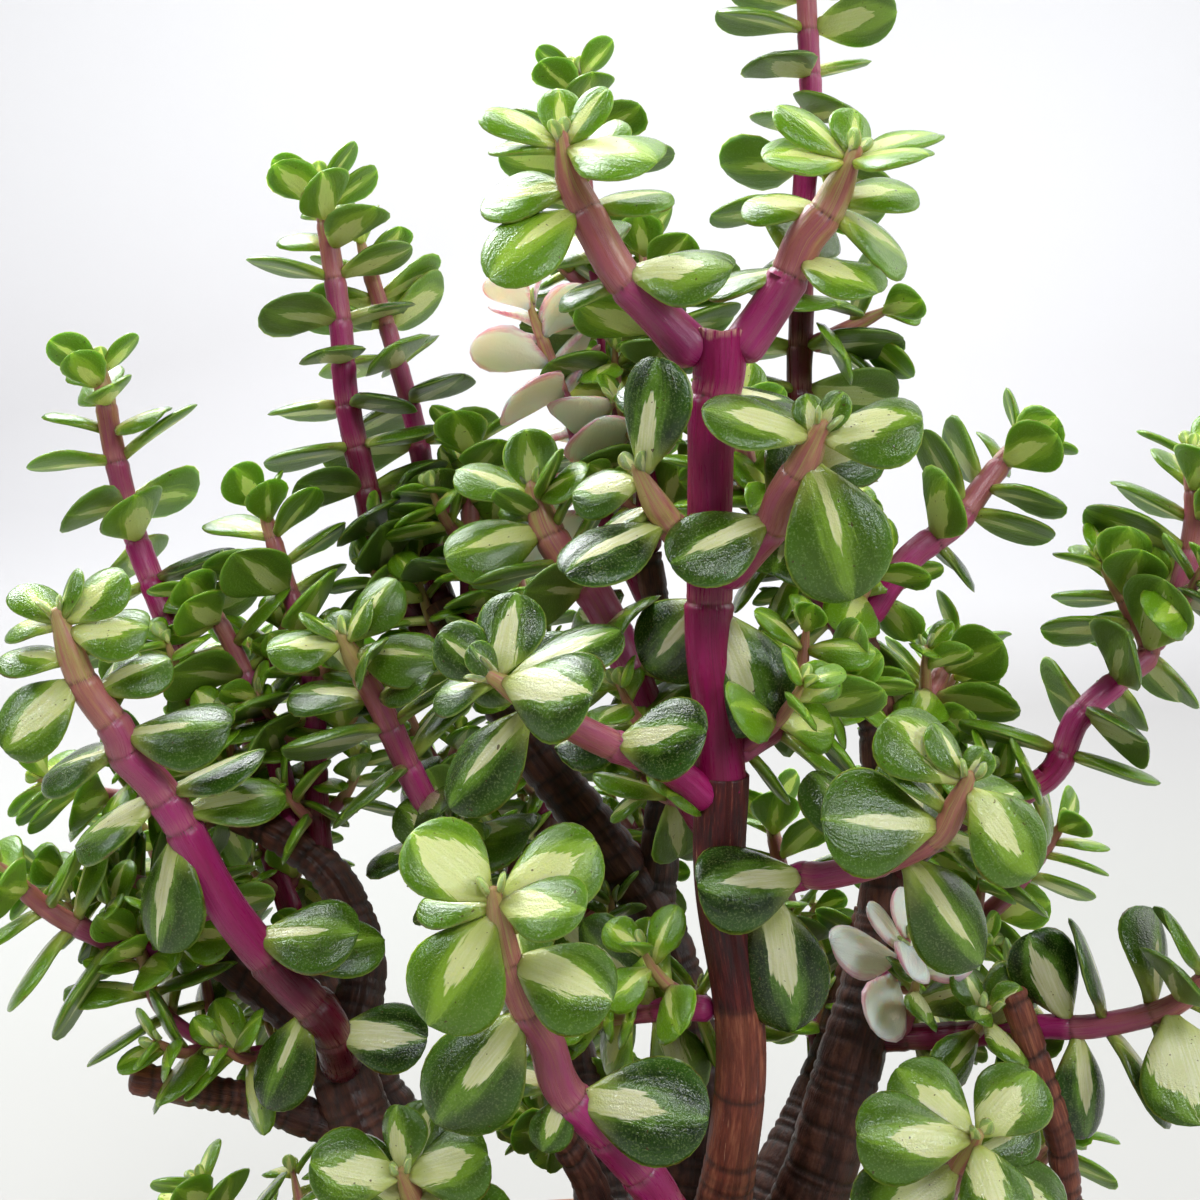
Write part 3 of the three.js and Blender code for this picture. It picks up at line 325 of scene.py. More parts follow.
# Leafy stems. Leaves listed one by one are (how far up the stem, from the stem to the leaf's tip, the way its
# upper side looks, width); `cream` says how wide the cream middle of some is, by their order.
STEMS = [
    new_stem(
        "main_stem", [7.4, 6.6, 6.6, 6.2, 6.4, 7.8], 0, 0,
        (17, -20, 171), (16, -20, 183), (15, -20, 192), (15, -20, 200), (15, -20, 211), (15, -20, 222),
        (16, -20, 228), (16, -20, 234), fresh=0, cut=True, foot=0, older=0.62, aging=0.12, twigs_to=0,
        leaves=[
            (0.42, (8, -5, -17), (0.1, -1, 0.1), 15), (0.43, (-9, 6, -12), (-0.2, -0.9, 0.3), 13),
            (0.87, (13, 6, -1), (0, -0.5, 0.8), 10.5), (0.86, (-13, 6, 2), (0, -0.4, 0.9), 10),
        ],
        cream={0: 0.26, 1: 0.1, 2: 0.16, 3: 0.12},
    ),
    new_stem(
        "left_fork_shoot", [6, 5.6, 5, 3.4], 3, 100,
        (15, -20, 229), (8, -21, 236), (3, -22, 241), (0, -22, 246), (-2, -21, 250), (-4, -21, 254),
        (-5, -22, 259), fresh=1, rear=True, twigs_to=0,
        leaves=[
            (0.48, (14, -7, 2), (0, -0.6, 0.8), 12.5), (0.44, (-9, 6, -1), (0, -0.5, 0.85), 9),
            (0.74, (-13, -6, -7), (-0.3, -0.75, 0.6), 12), (0.73, (11, 2, 4), (0, -0.45, 0.9), 9),
            (1, (-10, 2, 7), (0.2, -0.5, 0.85), 8), (0.98, (-10, 4, 2), (0, -0.35, 0.93), 7),
            (1, (-1, 3, 9), (0, -0.9, 0.3), 6), (1, (5, 0, 8), (-0.3, -0.8, 0.5), 6),
            (0.96, (11, -10, 0), (0, -0.65, 0.75), 12.5),
        ],
    ),
    new_stem(
        "right_fork_shoot", [5.4, 5.6, 5.2, 3.6], 3, 80,
        (17, -20, 229), (22, -20, 236), (25, -20, 241), (27, -21, 246), (30, -22, 250), (33, -24, 257),
        fresh=1, rear=True, twigs_to=0,
        leaves=[
            (0.52, (10, -9, -3), (0.1, -0.5, 0.85), 11), (0.46, (-11, 4, -1), (0, -0.4, 0.9), 10),
            (0.75, (13, 5, -5), (0.1, -0.6, 0.8), 12), (0.74, (-10, 5, 3), (0, -0.5, 0.85), 10),
            (1, (-8, 1, 9), (0.2, -0.55, 0.8), 9), (0.97, (-11, -3, 2), (0, -0.6, 0.8), 10),
            (0.98, (8, -9, 2), (0, -0.45, 0.9), 9), (1, (12, 1, 6), (0, -0.35, 0.93), 8),
        ],
    ),
    new_stem(
        "upper_left_shoot", [4.8, 4.2, 3.4], 0, 0,
        (15, -20, 200), (12, -22, 205), (9, -24, 209), (7, -26, 212), (5, -27, 216), fresh=0.15, twigs_to=0,
        leaves=[
            (1, (1, -3, 16), (-0.5, -0.85, 0.1), 10.5), (0.7, (-9, 5, -4), (0, -0.5, 0.85), 8),
            (0.9, (-10, 4, -1), (0, -0.7, 0.6), 8.5), (0.55, (-14, -4, -4), (0, -0.6, 0.8), 11),
        ],
        cream={0: 0.2, 3: 0.12},
    ),
    new_stem(
        "upper_right_shoot", [5.6, 5.2, 4.6, 4], 3, 60,
        (15, -20, 199), (20, -23, 205), (23, -26, 209), (24, -29, 213), (26, -32, 217), (28, -35, 222),
        fresh=0.45, older=0.03, rear=True, twigs_to=0,
        leaves=[
            (0.48, (-14, -6, -4), (-0.1, -0.75, 0.65), 12), (0.86, (7, -3, -18), (0.1, -0.98, 0.1), 14.5),
            (0.98, (12, -5, 4), (-0.1, -0.65, 0.75), 12), (0.95, (-14, -1, 5), (0.1, -0.55, 0.83), 12),
            (0.98, (-10, 6, 6), (0, -0.4, 0.9), 9), (1, (-1, 2, 6), (0, -0.9, 0.3), 4.5),
            (1, (3, 0, 6), (-0.4, -0.8, 0.3), 4.5),
        ],
        cream={0: 0.14, 1: 0.06, 2: 0.42, 3: 0.34},
    ),
    new_stem(
        "middle_left_shoot", [4.9, 4.5, 4, 3.2], 3, 90,
        (16, -20, 168), (11, -24, 174), (7, -27, 177), (1, -30, 180), (-5, -34, 184), (-10, -37, 188),
        (-14, -39, 191), fresh=0.25, rear=True, twigs_to=0, flat=0,
        leaves=[
            (0.5, (12, -6, 3), (0, -0.8, 0.6), 12.5), (1, (2, 4, 11), (-0.2, -0.8, 0.6), 9.5),
            (0.96, (11, -10, 1), (0, -0.85, 0.5), 13), (0.98, (-9, 4, -2), (0, -0.5, 0.85), 8.5),
            (0.82, (-12, -2, -13), (-0.4, -0.85, 0.3), 10.5), (0.94, (14, 4, 8), (0, -0.4, 0.9), 10),
            (1, (-3, -2, 5), (0.3, -0.8, 0.4), 4.5),
        ],
        cream={0: 0.16, 1: 0.3, 2: 0.34, 4: 0.12},
    ),
    new_stem(
        "middle_right_shoot", [4, 3.9, 3.6, 3], 3, 70,
        (18, -20, 155), (23, -22, 157), (28, -25, 160), (31, -28, 161), (37, -32, 164), (44, -36, 169),
        (46, -38, 174), (47, -40, 178), fresh=0.5, rear=True, twigs_to=0, flat=1,
        leaves=[
            (0.3, (-15, -6, 1), (0, -0.8, 0.6), 13), (0.8, (-16, -5, 3), (0, -0.9, 0.4), 14.5),
            (0.58, (-9, 6, 11), (0, -0.5, 0.85), 9), (0.97, (-9, 3, 9), (0.3, -0.75, 0.6), 12),
            (0.97, (10, -2, -11), (0.2, -0.85, 0.45), 12), (0.64, (13, 1, -16), (0.3, -0.9, 0.3), 12.5),
            (0.75, (10, 5, -3), (0, -0.5, 0.85), 9), (0.15, (3, -2, -21), (0, -1, 0.1), 14),
            (1, (2, -1, 5), (-0.4, -0.8, 0.3), 4.5),
        ],
        cream={0: 0.2, 1: 0.1, 3: 0.36, 4: 0.26, 5: 0.12, 7: 0.3},
    ),
    new_stem(
        "front_shoot", [7.4, 6.6, 5.8, 4.8, 3.2], 3, 90,
        (14, -12, 86), (12, -23, 97), (10, -29, 110), (7, -32, 118), (1, -35, 127), (-5, -38, 135),
        (-7, -41, 143), (-10, -44, 150), (-12, -47, 158), (-13, -50, 166),
        fresh=0.6, aging=0.68, rear=True, twigs_to=0,
        leaves=[
            (1, (-10, 2, 9), (0.3, -0.8, 0.5), 11.5), (0.99, (12, 0, 8), (-0.3, -0.75, 0.55), 11.5),
            (0.98, (10, -8, 3), (0, -0.7, 0.7), 9.5), (0.97, (-10, 4, 1), (0, -0.4, 0.9), 8),
            (0.97, (-9, -4, -13), (-0.2, -0.9, 0.35), 13.5), (0.89, (13, -5, -3), (0.1, -0.8, 0.55), 12.5),
            (0.8, (-12, -3, -15), (-0.2, -0.9, 0.3), 14), (0.62, (18, -4, -1), (0.1, -0.85, 0.5), 14.5),
            (0.64, (-10, 3, 2), (0, -0.4, 0.9), 7), (0.63, (-3, -3, -7), (0, -0.9, 0.3), 6),
        ],
        cream={0: 0.5, 1: 0.5, 2: 0.34, 4: 0.16, 5: 0.34, 6: 0.18, 7: 0.22},
    ),
    new_stem(
        "left_shoot", [6.4, 6.2, 6, 5.6, 5, 3.6], 4, 80,
        (-42, 10, 116), (-41, 2, 122), (-42, -4, 130), (-48, -6, 138), (-54, -8, 147), (-57, -9, 153),
        (-61, -11, 163), (-64, -12, 169), (-68, -13, 174), (-69, -14, 178), (-73, -15, 185),
        (-76, -16, 195), fresh=0.6, aging=0.78, rear=True, twigs_to=0,
        leaves=[
            (1, (8, 2, 8), (-0.2, -0.6, 0.75), 9.5), (0.99, (-9, 6, 0), (0, -0.4, 0.9), 8.5),
            (0.97, (12, -2, 2), (0, -0.6, 0.8), 10), (1, (-7, 4, 6), (0.2, -0.5, 0.8), 7.5),
            (0.9, (-11, -4, -9), (-0.3, -0.85, 0.4), 12), (0.87, (10, 4, 5), (0, -0.5, 0.85), 9),
            (0.79, (16, -4, 4), (0.1, -0.65, 0.75), 12.5), (0.77, (-14, 5, -4), (0, -0.5, 0.85), 11),
            (0.64, (15, 5, 3), (0, -0.4, 0.9), 11), (0.62, (-5, -3, -18), (-0.5, -0.85, 0.1), 12),
            (0.4, (16, -4, 3), (0.1, -0.6, 0.8), 13), (0.36, (17, 6, 2), (0, -0.6, 0.8), 11),
            (0.25, (-7, -4, -15), (-0.5, -0.85, 0.1), 11), (0.18, (15, -2, 0), (0.1, -0.7, 0.7), 11.5),
        ],
    ),
    new_stem(
        "middle_left_rear_shoot", [5.4, 5, 4.6, 4.2, 3.4], 4, 20,
        (12, 14, 128), (0, 12, 134), (-12, 11, 141), (-22, 9, 151), (-29, 7, 165), (-34, 4, 178),
        (-39, 1, 189), fresh=0.5,
        leaves=[
            (0.99, (7, 2, 10), (-0.2, -0.7, 0.65), 9.5), (0.98, (-11, -4, 1), (0, -0.6, 0.8), 9.5),
            (0.96, (13, -4, 1), (0, -0.65, 0.75), 11),
        ],
    ),
    new_stem(
        "centre_left_shoot", [4.6, 5.2, 5.4, 5.4, 4.6], 4, 60,
        (17, -20, 163), (13, -14, 168), (9, -6, 174), (6, -2, 181), (0, 0, 194), (-5, 2, 200), (-8, 3, 205),
        (-10, 4, 211), fresh=0.7, twigs_to=0.35,
        leaves=[
            (0.99, (-2, 2, 11), (0, -0.8, 0.5), 8.5), (0.97, (6, -6, 6), (0, -0.6, 0.8), 8.5),
            (0.99, (-12, 3, 6), (0, -0.45, 0.9), 9.5), (0.89, (-15, -5, -2), (-0.2, -0.75, 0.6), 12),
        ],
    ),
    new_stem(
        "low_left_shoot", [3.6, 3.4, 2.6], 3, 30,
        (18, -19, 138), (13, -16, 137), (6, -10, 134), (-3, -5, 131), (-12, -2, 131),
    ),
    new_stem(
        "small_right_shoot", [3.8, 3.2, 2.6], 4, 20,
        (17, -20, 175), (24, -16, 178), (30, -11, 181), (37, -6, 184),
    ),
    new_stem(
        "tall_right_rear_shoot", [5, 4.6, 4.2, 3.8, 3], 8, 15,
        (41, 18, 186), (40, 27, 194), (37, 34, 204), (34, 38, 222), (34, 40, 238), (34, 40, 255),
        (35, 40, 270), (34, 40, 287), (33, 40, 300), twigs_to=0.25,
    ),
    new_stem(
        "tall_right_rear_side_shoot", [3, 2.4], 3, 50,
        (34, 40, 231), (40, 38, 234), (48, 36, 238), twigs_to=0,
    ),
    new_stem(
        "tall_left_rear_shoot", [5, 4.8, 4.2, 3.2], 8, 5,
        (-19, 28, 176), (-29, 36, 183), (-38, 43, 194), (-41, 45, 208), (-44, 46, 222), (-45, 47, 236),
        (-48, 48, 260), twigs_to=0.3,
    ),
    new_stem(
        "tall_left_far_shoot", [4.8, 4.2, 3.4, 2.6], 7, 50,
        (-26, 31, 187), (-29, 42, 194), (-31, 52, 205), (-33, 54, 217), (-37, 55, 232), (-43, 58, 251),
        twigs_to=0.3,
    ),
    new_stem(
        "far_left_shoot", [5, 4.6, 3.4], 7, 25,
        (-57, 22, 154), (-66, 28, 170), (-74, 35, 186), (-80, 40, 199), (-83, 40, 213), (-85, 40, 229),
        twigs_to=0.35,
    ),
    new_stem(
        "small_left_rear_shoot", [4.2, 3.6, 2.6], 6, 70,
        (-46, 19, 146), (-47, 22, 160), (-48, 26, 180), (-53, 31, 194), (-57, 34, 206),
    ),
    new_stem(
        "far_left_low_shoot", [4.4, 3.6, 2.6], 5, 10,
        (-59, 22, 155), (-70, 25, 156), (-82, 25, 157), (-93, 23, 161),
    ),
    new_stem(
        "far_left_side_shoot", [4, 3.4, 2.4], 5, 60,
        (-62, 14, 135), (-71, 18, 142), (-81, 19, 145), (-91, 16, 146),
    ),
    new_stem(
        "left_edge_shoot", [4, 3.4, 2.6], 5, 30,
        (-63, 14, 136), (-73, 8, 137), (-84, 3, 144), (-93, 0, 154),
    ),
    new_stem(
        "thin_left_shoot", [2.8, 2.4, 2], 4, 40,
        (-46, 9, 120), (-58, 9, 119), (-66, 8, 123), (-71, 7, 129), (-73, 5, 141),
    ),
    new_stem(
        "left_mass_shoot", [4.2, 3.6, 2.6], 5, 35,
        (-50, 20, 150), (-55, 27, 166), (-61, 30, 180), (-67, 30, 192), twigs_to=0.75,
    ),
    new_stem(
        "middle_mass_shoot", [4.2, 3.6, 2.6], 6, 15,
        (-16, 26, 172), (-21, 29, 181), (-22, 34, 193), (-22, 37, 205), (-21, 39, 217), twigs_to=0.7,
    ),
    new_stem(
        "centre_rear_shoot", [4.4, 3.6, 2.6], 7, 40,
        (8, 28, 196), (8, 30, 208), (9, 32, 220), (10, 34, 232), (7, 37, 250), twigs_to=0.45,
    ),
    new_stem(
        "pink_shoot", [3.6, 2.8, 2], 5, 65,
        (9, 28, 188), (1, 33, 203), (-5, 38, 220), (-9, 39, 231), (-12, 40, 239), twigs_to=0, pink=1,
    ),
    new_stem(
        "top_rear_shoot", [3.6, 2.8, 2], 6, 10,
        (9, 28, 192), (5, 42, 208), (1, 50, 232), (-2, 54, 256), (-4, 55, 279),
    ),
    new_stem(
        "behind_main_shoot", [4.4, 4, 3], 5, 45,
        (42, 18, 183), (32, 13, 198), (25, 9, 207), (22, 8, 215), (20, 8, 224),
    ),
    new_stem(
        "upper_right_far_shoot", [4.8, 4.4, 3.2], 6, 20,
        (41, 17, 187), (49, 18, 198), (57, 20, 204), (62, 22, 210), (69, 25, 218), twigs_to=0.2,
    ),
    new_stem(
        "right_shoot", [4.8, 4.4, 4, 2.8], 8, 30,
        (46, 15, 146), (57, 10, 158), (70, 8, 165), (75, 10, 174), (82, 12, 180), (87, 14, 184),
        (85, 16, 190), (80, 18, 198), twigs_to=0.3,
    ),
    new_stem(
        "far_right_shoot", [4, 3.8, 3], 5, 0,
        (86, 14, 183), (92, 17, 192), (95, 19, 204), (94, 20, 216), twigs_to=0.3,
    ),
    new_stem(
        "right_mass_shoot", [3.8, 3.4, 2.6], 4, 30,
        (46, 17, 163), (53, 22, 173), (60, 27, 184),
    ),
    new_stem(
        "low_right_shoot", [4.4, 4, 3.6, 2.6], 3, 75,
        (41, 8, 122), (54, 2, 125), (67, -4, 129), (75, -8, 131), (85, -12, 136), (92, -15, 146),
        fresh=0.5, twigs_to=0.35,
        leaves=[
            (0.55, (-7, -4, 14), (-0.3, -0.8, 0.5), 11), (0.56, (2, -5, -16), (0.5, -0.85, 0.1), 11),
            (0.78, (3, -12, -12), (0, -0.85, 0.5), 15),
        ],
        cream={0: 0.34, 1: 0.2, 2: 0.6},
    ),
    new_stem(
        "white_pink_shoot", [2.8, 2], 3, 80,
        (44, 11, 131), (47, 4, 135), (47, -2, 142), older=0.2, twigs_to=0, pink=1,
    ),
    new_stem(
        "bottom_right_shoot", [4.4, 4, 3], 2, 60,
        (54, -6, 80), (50, -14, 96), (49, -25, 113), (51, -35, 127), fresh=0.45, rear=True, twigs_to=0,
        leaves=[
            (0.97, (-16, -5, 4), (0, -0.8, 0.6), 12.5), (1, (-9, 5, 9), (0.2, -0.7, 0.7), 11),
            (1, (8, 3, 9), (-0.3, -0.75, 0.6), 11), (0.97, (3, -9, -7), (0, -0.8, 0.6), 10),
            (0.84, (-14, -7, -6), (-0.1, -0.8, 0.6), 14), (0.86, (13, -6, -4), (0.1, -0.7, 0.7), 12),
        ],
        cream={0: 0.3, 1: 0.4, 2: 0.5, 3: 0.42, 4: 0.3, 5: 0.36},
    ),
    new_stem(
        "bottom_left_shoot", [5, 4.2, 3], 2, 90,
        (-19, 3, 76), (-22, -9, 86), (-24, -18, 98), (-25, -28, 111), (-27, -34, 121),
        fresh=0.4, rear=True, twigs_to=0,
        leaves=[
            (0.98, (-12, -3, 4), (0.1, -0.8, 0.6), 11), (0.98, (11, -3, 5), (-0.1, -0.8, 0.6), 11),
            (1, (3, 3, 9), (0, -0.8, 0.6), 8), (0.9, (13, -7, -3), (0, -0.75, 0.65), 13),
            (0.88, (-10, -8, -6), (-0.1, -0.75, 0.65), 12),
        ],
        cream={0: 0.36, 1: 0.4, 2: 0.3, 3: 0.3, 4: 0.2},
    ),
    new_stem(
        "small_bottom_left_shoot", [3.8, 3.2, 2.4], 4, 45,
        (-31, 5, 93), (-45, 3, 88), (-58, 4, 88), (-65, 7, 98),
    ),
    new_stem(
        "low_front_right_shoot", [4.6, 4, 3], 5, 20,
        (12, -10, 76), (24, -26, 84), (34, -37, 93), (42, -46, 104), seen=False,
    ),
    new_stem(
        "low_front_left_shoot", [4.8, 4, 2.8], 6, 60,
        (-10, 2, 66), (-20, -16, 74), (-34, -30, 82), (-48, -40, 92), seen=False,
    ),
    new_stem(
        "low_right_side_shoot", [4.2, 3.6, 2.6], 6, 35,
        (40, -4, 69), (52, 12, 78), (68, 22, 86), (82, 26, 98), seen=False,
    ),
    new_stem(
        "rear_top_shoot", [4.6, 4, 2.8], 6, 0,
        (-10, 63, 140), (-13, 72, 154), (-15, 79, 170), (-16, 82, 188), seen=False,
    ),
    new_stem(
        "rear_middle_shoot", [4.6, 4, 2.8], 6, 50,
        (-7, 54, 119), (4, 68, 130), (11, 79, 144), (14, 84, 162), seen=False,
    ),
    new_stem(
        "rear_left_shoot", [4.4, 3.8, 2.8], 6, 20,
        (-9, 60, 132), (-24, 67, 142), (-36, 73, 156), (-42, 76, 172), seen=False,
    ),
    new_stem(
        "rear_low_shoot", [4.4, 3.8, 2.6], 6, 70,
        (-2, 36, 90), (-6, 54, 88), (-8, 70, 92), (-8, 84, 102), seen=False,
    ),
    new_stem(
        "right_rear_top_shoot", [4.6, 4, 2.8], 6, 40,
        (50, 51, 126), (57, 57, 142), (61, 61, 158), (62, 64, 176), seen=False,
    ),
    new_stem(
        "right_rear_side_shoot", [4.4, 3.8, 2.8], 6, 80,
        (45, 46, 114), (60, 49, 120), (74, 49, 131), (84, 47, 146), seen=False,
    ),
    new_stem(
        "right_rear_low_shoot", [4.4, 3.8, 2.8], 6, 10,
        (41, 41, 102), (40, 58, 112), (37, 72, 124), (34, 82, 140), seen=False,
    ),
    new_stem(
        "left_rear_top_shoot", [4.4, 3.8, 2.8], 6, 60,
        (-55, 43, 128), (-61, 48, 144), (-64, 52, 160), (-65, 54, 178), seen=False,
    ),
    new_stem(
        "left_rear_side_shoot", [4.4, 3.8, 2.8], 6, 15,
        (-48, 40, 114), (-62, 48, 120), (-76, 51, 131), (-86, 52, 146), seen=False,
    ),
]


# Where the part's leaves are


def leaf_axes(leaf):
    run = leaf["tip"] - leaf["base"]
    long = np.linalg.norm(run)
    along = run / long
    up = unit(leaf["face"] - along * np.dot(leaf["face"], along))
    return long, along, up, np.cross(up, along)


def rim_corners(leaf):
    long, along, up, side = leaf_axes(leaf)
    share, half = RIM_END
    lift = FOLD * leaf["wide"] * half - ARCH * long * share**2
    middle = leaf["base"] + along * share * long + up * lift
    return [middle + side * half * leaf["wide"] * sign for sign in (-1, 1)]


def ways_of_set(leaf, stem):
    at, tip, face, wide = leaf
    line = stem["line"]
    highest = 1 - thick_at(stem["thick"], 1) / 2 / line.total
    point, _ = line.at(min(at, highest))
    start = SUNK * thick_at(stem["thick"], at) / 2 / np.linalg.norm(tip)
    return [
        {
            "base": point,
            "tip": point + vec(tip) + vec((0, bend, 0)),
            "face": vec(face),
            "wide": wide,
            "start": start,
            "at": at,
        }
        for bend in SET_BENDS
    ]


def paired(stem, draw, pair, back):
    """What is wanted of the two leaves of a pair that stands `back` millimetres from the stem's tip."""
    g = GROWTH
    grown = min(1, g["first_size"] + g["size_step"] * pair)
    share = 1 - back / stem["line"].total
    point, along = stem["line"].at(share)

    def spread(width):
        return width * (next(draw) - 0.5)

    turn = math.radians(stem["turn"] + 90 * pair + spread(g["wobble"]))
    wanted = []
    for half in (0, math.pi):
        long = LEAF_LONG * stem["leaf_scale"] * grown * (1 + spread(g["size_spread"]))
        steps = min(pair, g["lean_steps"])
        lean = math.radians(g["first_lean"] + g["lean_step"] * steps + spread(g["wobble"]))
        roll = spread(g["roll"])
        start = SUNK * thick_at(stem["thick"], share) / 2 / long
        wanted.append((point, along, turn + half, lean, long, start, roll, stem["droop"] * next(draw), share))
    return wanted


def step_back(pair):
    return GROWTH["internode"] * min(1, GROWTH["first_step"] + GROWTH["step_more"] * pair)


def ways_of_paired(wanted, stem):
    """The ways in which such a leaf may bend to find room; on a `rear` stem only those to the back."""
    point, along, turn, lean, long, start, roll, droop, share = wanted
    b = BENDING
    outward = unit(vec((point[0] - BASE_CENTRE[0], point[1] - BASE_CENTRE[1], 0)))
    upper = along + vec((0, 0, GROWTH["lift"])) + outward * GROWTH["outward"]
    ways = []
    for i in range(b["tries"]):
        sign = 1 if i % 2 else -1
        leaning = lean + (0 if i < b["lean_from"] else math.radians(sign * b["lean"]))
        length = long * (1 if i < b["small_from"] else b["small"])
        out = outwards(along, turn + math.radians(sign * b["turn"] * math.ceil(i / 2)))
        run = unit(along * math.cos(leaning) + out * math.sin(leaning) + vec((0, 0, -droop)))
        way = {
            "base": point,
            "tip": point + run * length,
            "face": upper + np.cross(run, along) * roll,
            "wide": LEAF_WIDE * length / LEAF_LONG,
            "start": start * long / length,
            "at": share,
        }
        if not stem["rear"] or way["tip"][1] - point[1] > REAR_REACH:
            ways.append(way)
    return ways


def corners_of(node):
    """The solid's corners, in the plant's own millimetres, ready to be searched."""
    vertices = nodes[node].data.vertices
    tree = KDTree(len(vertices))
    for i, vertex in enumerate(vertices):
        tree.insert(vec(vertex.co) / MM - SHIFT, i)
    tree.balance()
    return tree


def kept_way(ways, tree):
    for way in ways:
        if all(tree.find(corner)[2] < FOUND_WITHIN for corner in rim_corners(way)):
            return way
    return None


def leaves_of(stem, index):
    """The leaves that the stem's solid has."""
    tree = corners_of(stem["name"])
    kept = [kept_way(ways_of_set(leaf, stem), tree) for leaf in stem["leaves"]]
    draw = seeded(index + 1)
    back = thick_at(stem["thick"], 1) / 2
    for pair in range(stem["pairs"]):
        if 1 - back / stem["line"].total < GROWTH["bare_share"]:
            break
        for wanted in paired(stem, draw, pair, back):
            kept.append(kept_way(ways_of_paired(wanted, stem), tree))
        back += step_back(pair)
    return [leaf for leaf in kept if leaf]


# Leaves that stand between the ones of the solids, where there is room


class Room:
    """Points taken by leaves so far."""

    def __init__(self):
        self.points = np.empty((MOST_POINTS, 3))
        self.count = 0

    def probes(self, leaf):
        long, along, _, side = leaf_axes(leaf)
        middle = leaf["base"] + along * WIDEST * long
        sideways = side * PROBE_SIDE * leaf["wide"]
        low = leaf["base"] + along * PROBE_LOW * long
        return np.array([middle, leaf["tip"], middle + sideways, middle - sideways, low])

    def take(self, leaf):
        probes = self.probes(leaf)
        self.points[self.count : self.count + len(probes)] = probes
        self.count += len(probes)

    def clear(self, leaf):
        apart = self.points[None, : self.count] - self.probes(leaf)[:, None]
        return (apart**2).sum(axis=2).min() > CLEARANCE**2


def first_clear(stem, wanted, room):
    """The first way for a leaf that keeps clear of the others; none if there isn't one."""
    return next(filter(room.clear, ways_of_paired(wanted, stem)), None)


def between_leaves(stem, index, room):
    """Pairs half way between the solid's own, an eighth of a turn on."""
    draw = seeded(1000 + index)
    line = stem["line"]
    back = thick_at(stem["thick"], 1) / 2
    added = []
    for pair in range(BETWEEN_PAIRS):
        step = step_back(pair)
        middle = back + step / 2
        if 1 - middle / line.total < BETWEEN_BARE:
            break
        for wanted in paired(stem, draw, pair + 0.5, middle):
            way = first_clear(stem, wanted, room)
            if way:
                room.take(way)
                added.append(way)
        back += step
    return added


def twigs_of(stem, index, room):
    """Short side twigs, each with small leaves, wherever a stem inside the crown has room for one."""
    draw = seeded(2000 + index)
    line = stem["line"]
    forward, sideways, rise = TWIG_HEADING
    twigs = []
    for share in np.arange(TWIG_FROM, stem["twigs_to"], TWIG_STEP / line.total):
        point, along = line.at(share + TWIG_SHIFT * (next(draw) - 0.5))
        start = 2 * math.pi * next(draw)
        for half in (0, math.pi):
            out = outwards(along, start + half)
            long = TWIG_LONG[0] + TWIG_LONG[1] * next(draw)
            heading = unit(along * forward + out * sideways + vec((0, 0, rise)))
            middle = point + heading * long * TWIG_BEND
            end = middle + unit(heading + vec((0, 0, TWIG_RISE))) * long * (1 - TWIG_BEND)
            route = [point, middle, end]
            twig = {**stem, **TWIG, "route": route, "line": Line(route), "turn": 360 * next(draw)}
            twig["kept"] = []
            for pair, back in enumerate(TWIG_PAIRS):
                for wanted in paired(twig, draw, pair, back):
                    way = first_clear(twig, wanted, room)
                    if way:
                        twig["kept"].append(way)
            if len(twig["kept"]) >= TWIG_LEAST:
                for way in twig["kept"]:
                    room.take(way)
                twigs.append(twig)
    return twigs


# Meshes


def link(name, data, place=(0, 0, 0), turn=(0, 0, 0)):
    """A new object in the scene."""
    made = bpy.data.objects.new(name, data)
    made.location = place
    made.rotation_euler = turn
    bpy.context.scene.collection.objects.link(made)
    return made


class Parts:
    """Vertices, faces and looks of one piece, gathered before the mesh is made."""

    def __init__(self):
        self.points, self.place, self.look = [], [], []
        self.faces, self.slots = [], []
        self.count = 0

    def add(self, points, faces, place, look, material):
        self.points.append(points)
        self.place.append(place)
        self.look.append(look)
        self.faces.extend([tuple(self.count + k for k in face) for face in faces])
        self.slots.extend(material if isinstance(material, list) else [material] * len(faces))
        self.count += len(points)

    def piece(self, name, materials, replaced):
        """Make the mesh, which takes the place of the solid `replaced`."""
        mesh = bpy.data.meshes.new(name)
        points = (np.concatenate(self.points) + SHIFT) * MM
        mesh.from_pydata(points.tolist(), [], self.faces)
        for material in materials:
            mesh.materials.append(material)
        mesh.polygons.foreach_set("material_index", self.slots)
        mesh.polygons.foreach_set("use_smooth", [True] * len(self.faces))
        for label, rows in (("place", self.place), ("look", self.look)):
            layer = mesh.attributes.new(label, "FLOAT_VECTOR", "POINT")
            layer.data.foreach_set("vector", np.concatenate(rows).astype(np.float32).ravel())
        mesh.validate()
        made = link(name, mesh)
        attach(made, "root")
        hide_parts(replaced)


def tube_faces(rings, sides):
    faces = []
    for start in range(0, (rings - 1) * sides, sides):
        for k in range(sides):
            a, b = start + k, start + (k + 1) % sides
            faces.append((a, b, b + sides, a + sides))
    faces.append(tuple(reversed(range(sides))))
    faces.append(tuple(range((rings - 1) * sides, rings * sides)))
    return faces


def rows_of(rings, sides, *columns):
    """A row for each point of a tube, from columns that hold a value a ring, a side or a point."""
    return np.stack([np.broadcast_to(column, (rings, sides)).ravel() for column in columns], axis=-1)


def tube_place(run, sides, seed):
    """How far along a tube and how far round it each point is, and the tube's own number."""
    return rows_of(len(run), sides, vec(run)[:, None], np.arange(sides) / sides, seed)


def circles(rows, sides, ribs=1, centre=(0, 0)):
    """Level rings of points, one for each (radius, height)."""
    turns = round_turns(sides)
    x, y = np.cos(turns) * ribs, np.sin(turns) * ribs
    return np.concatenate([
        np.stack([centre[0] + radius * x, centre[1] + radius * y, np.full(sides, float(height))], axis=-1)
        for radius, height in rows
    ])


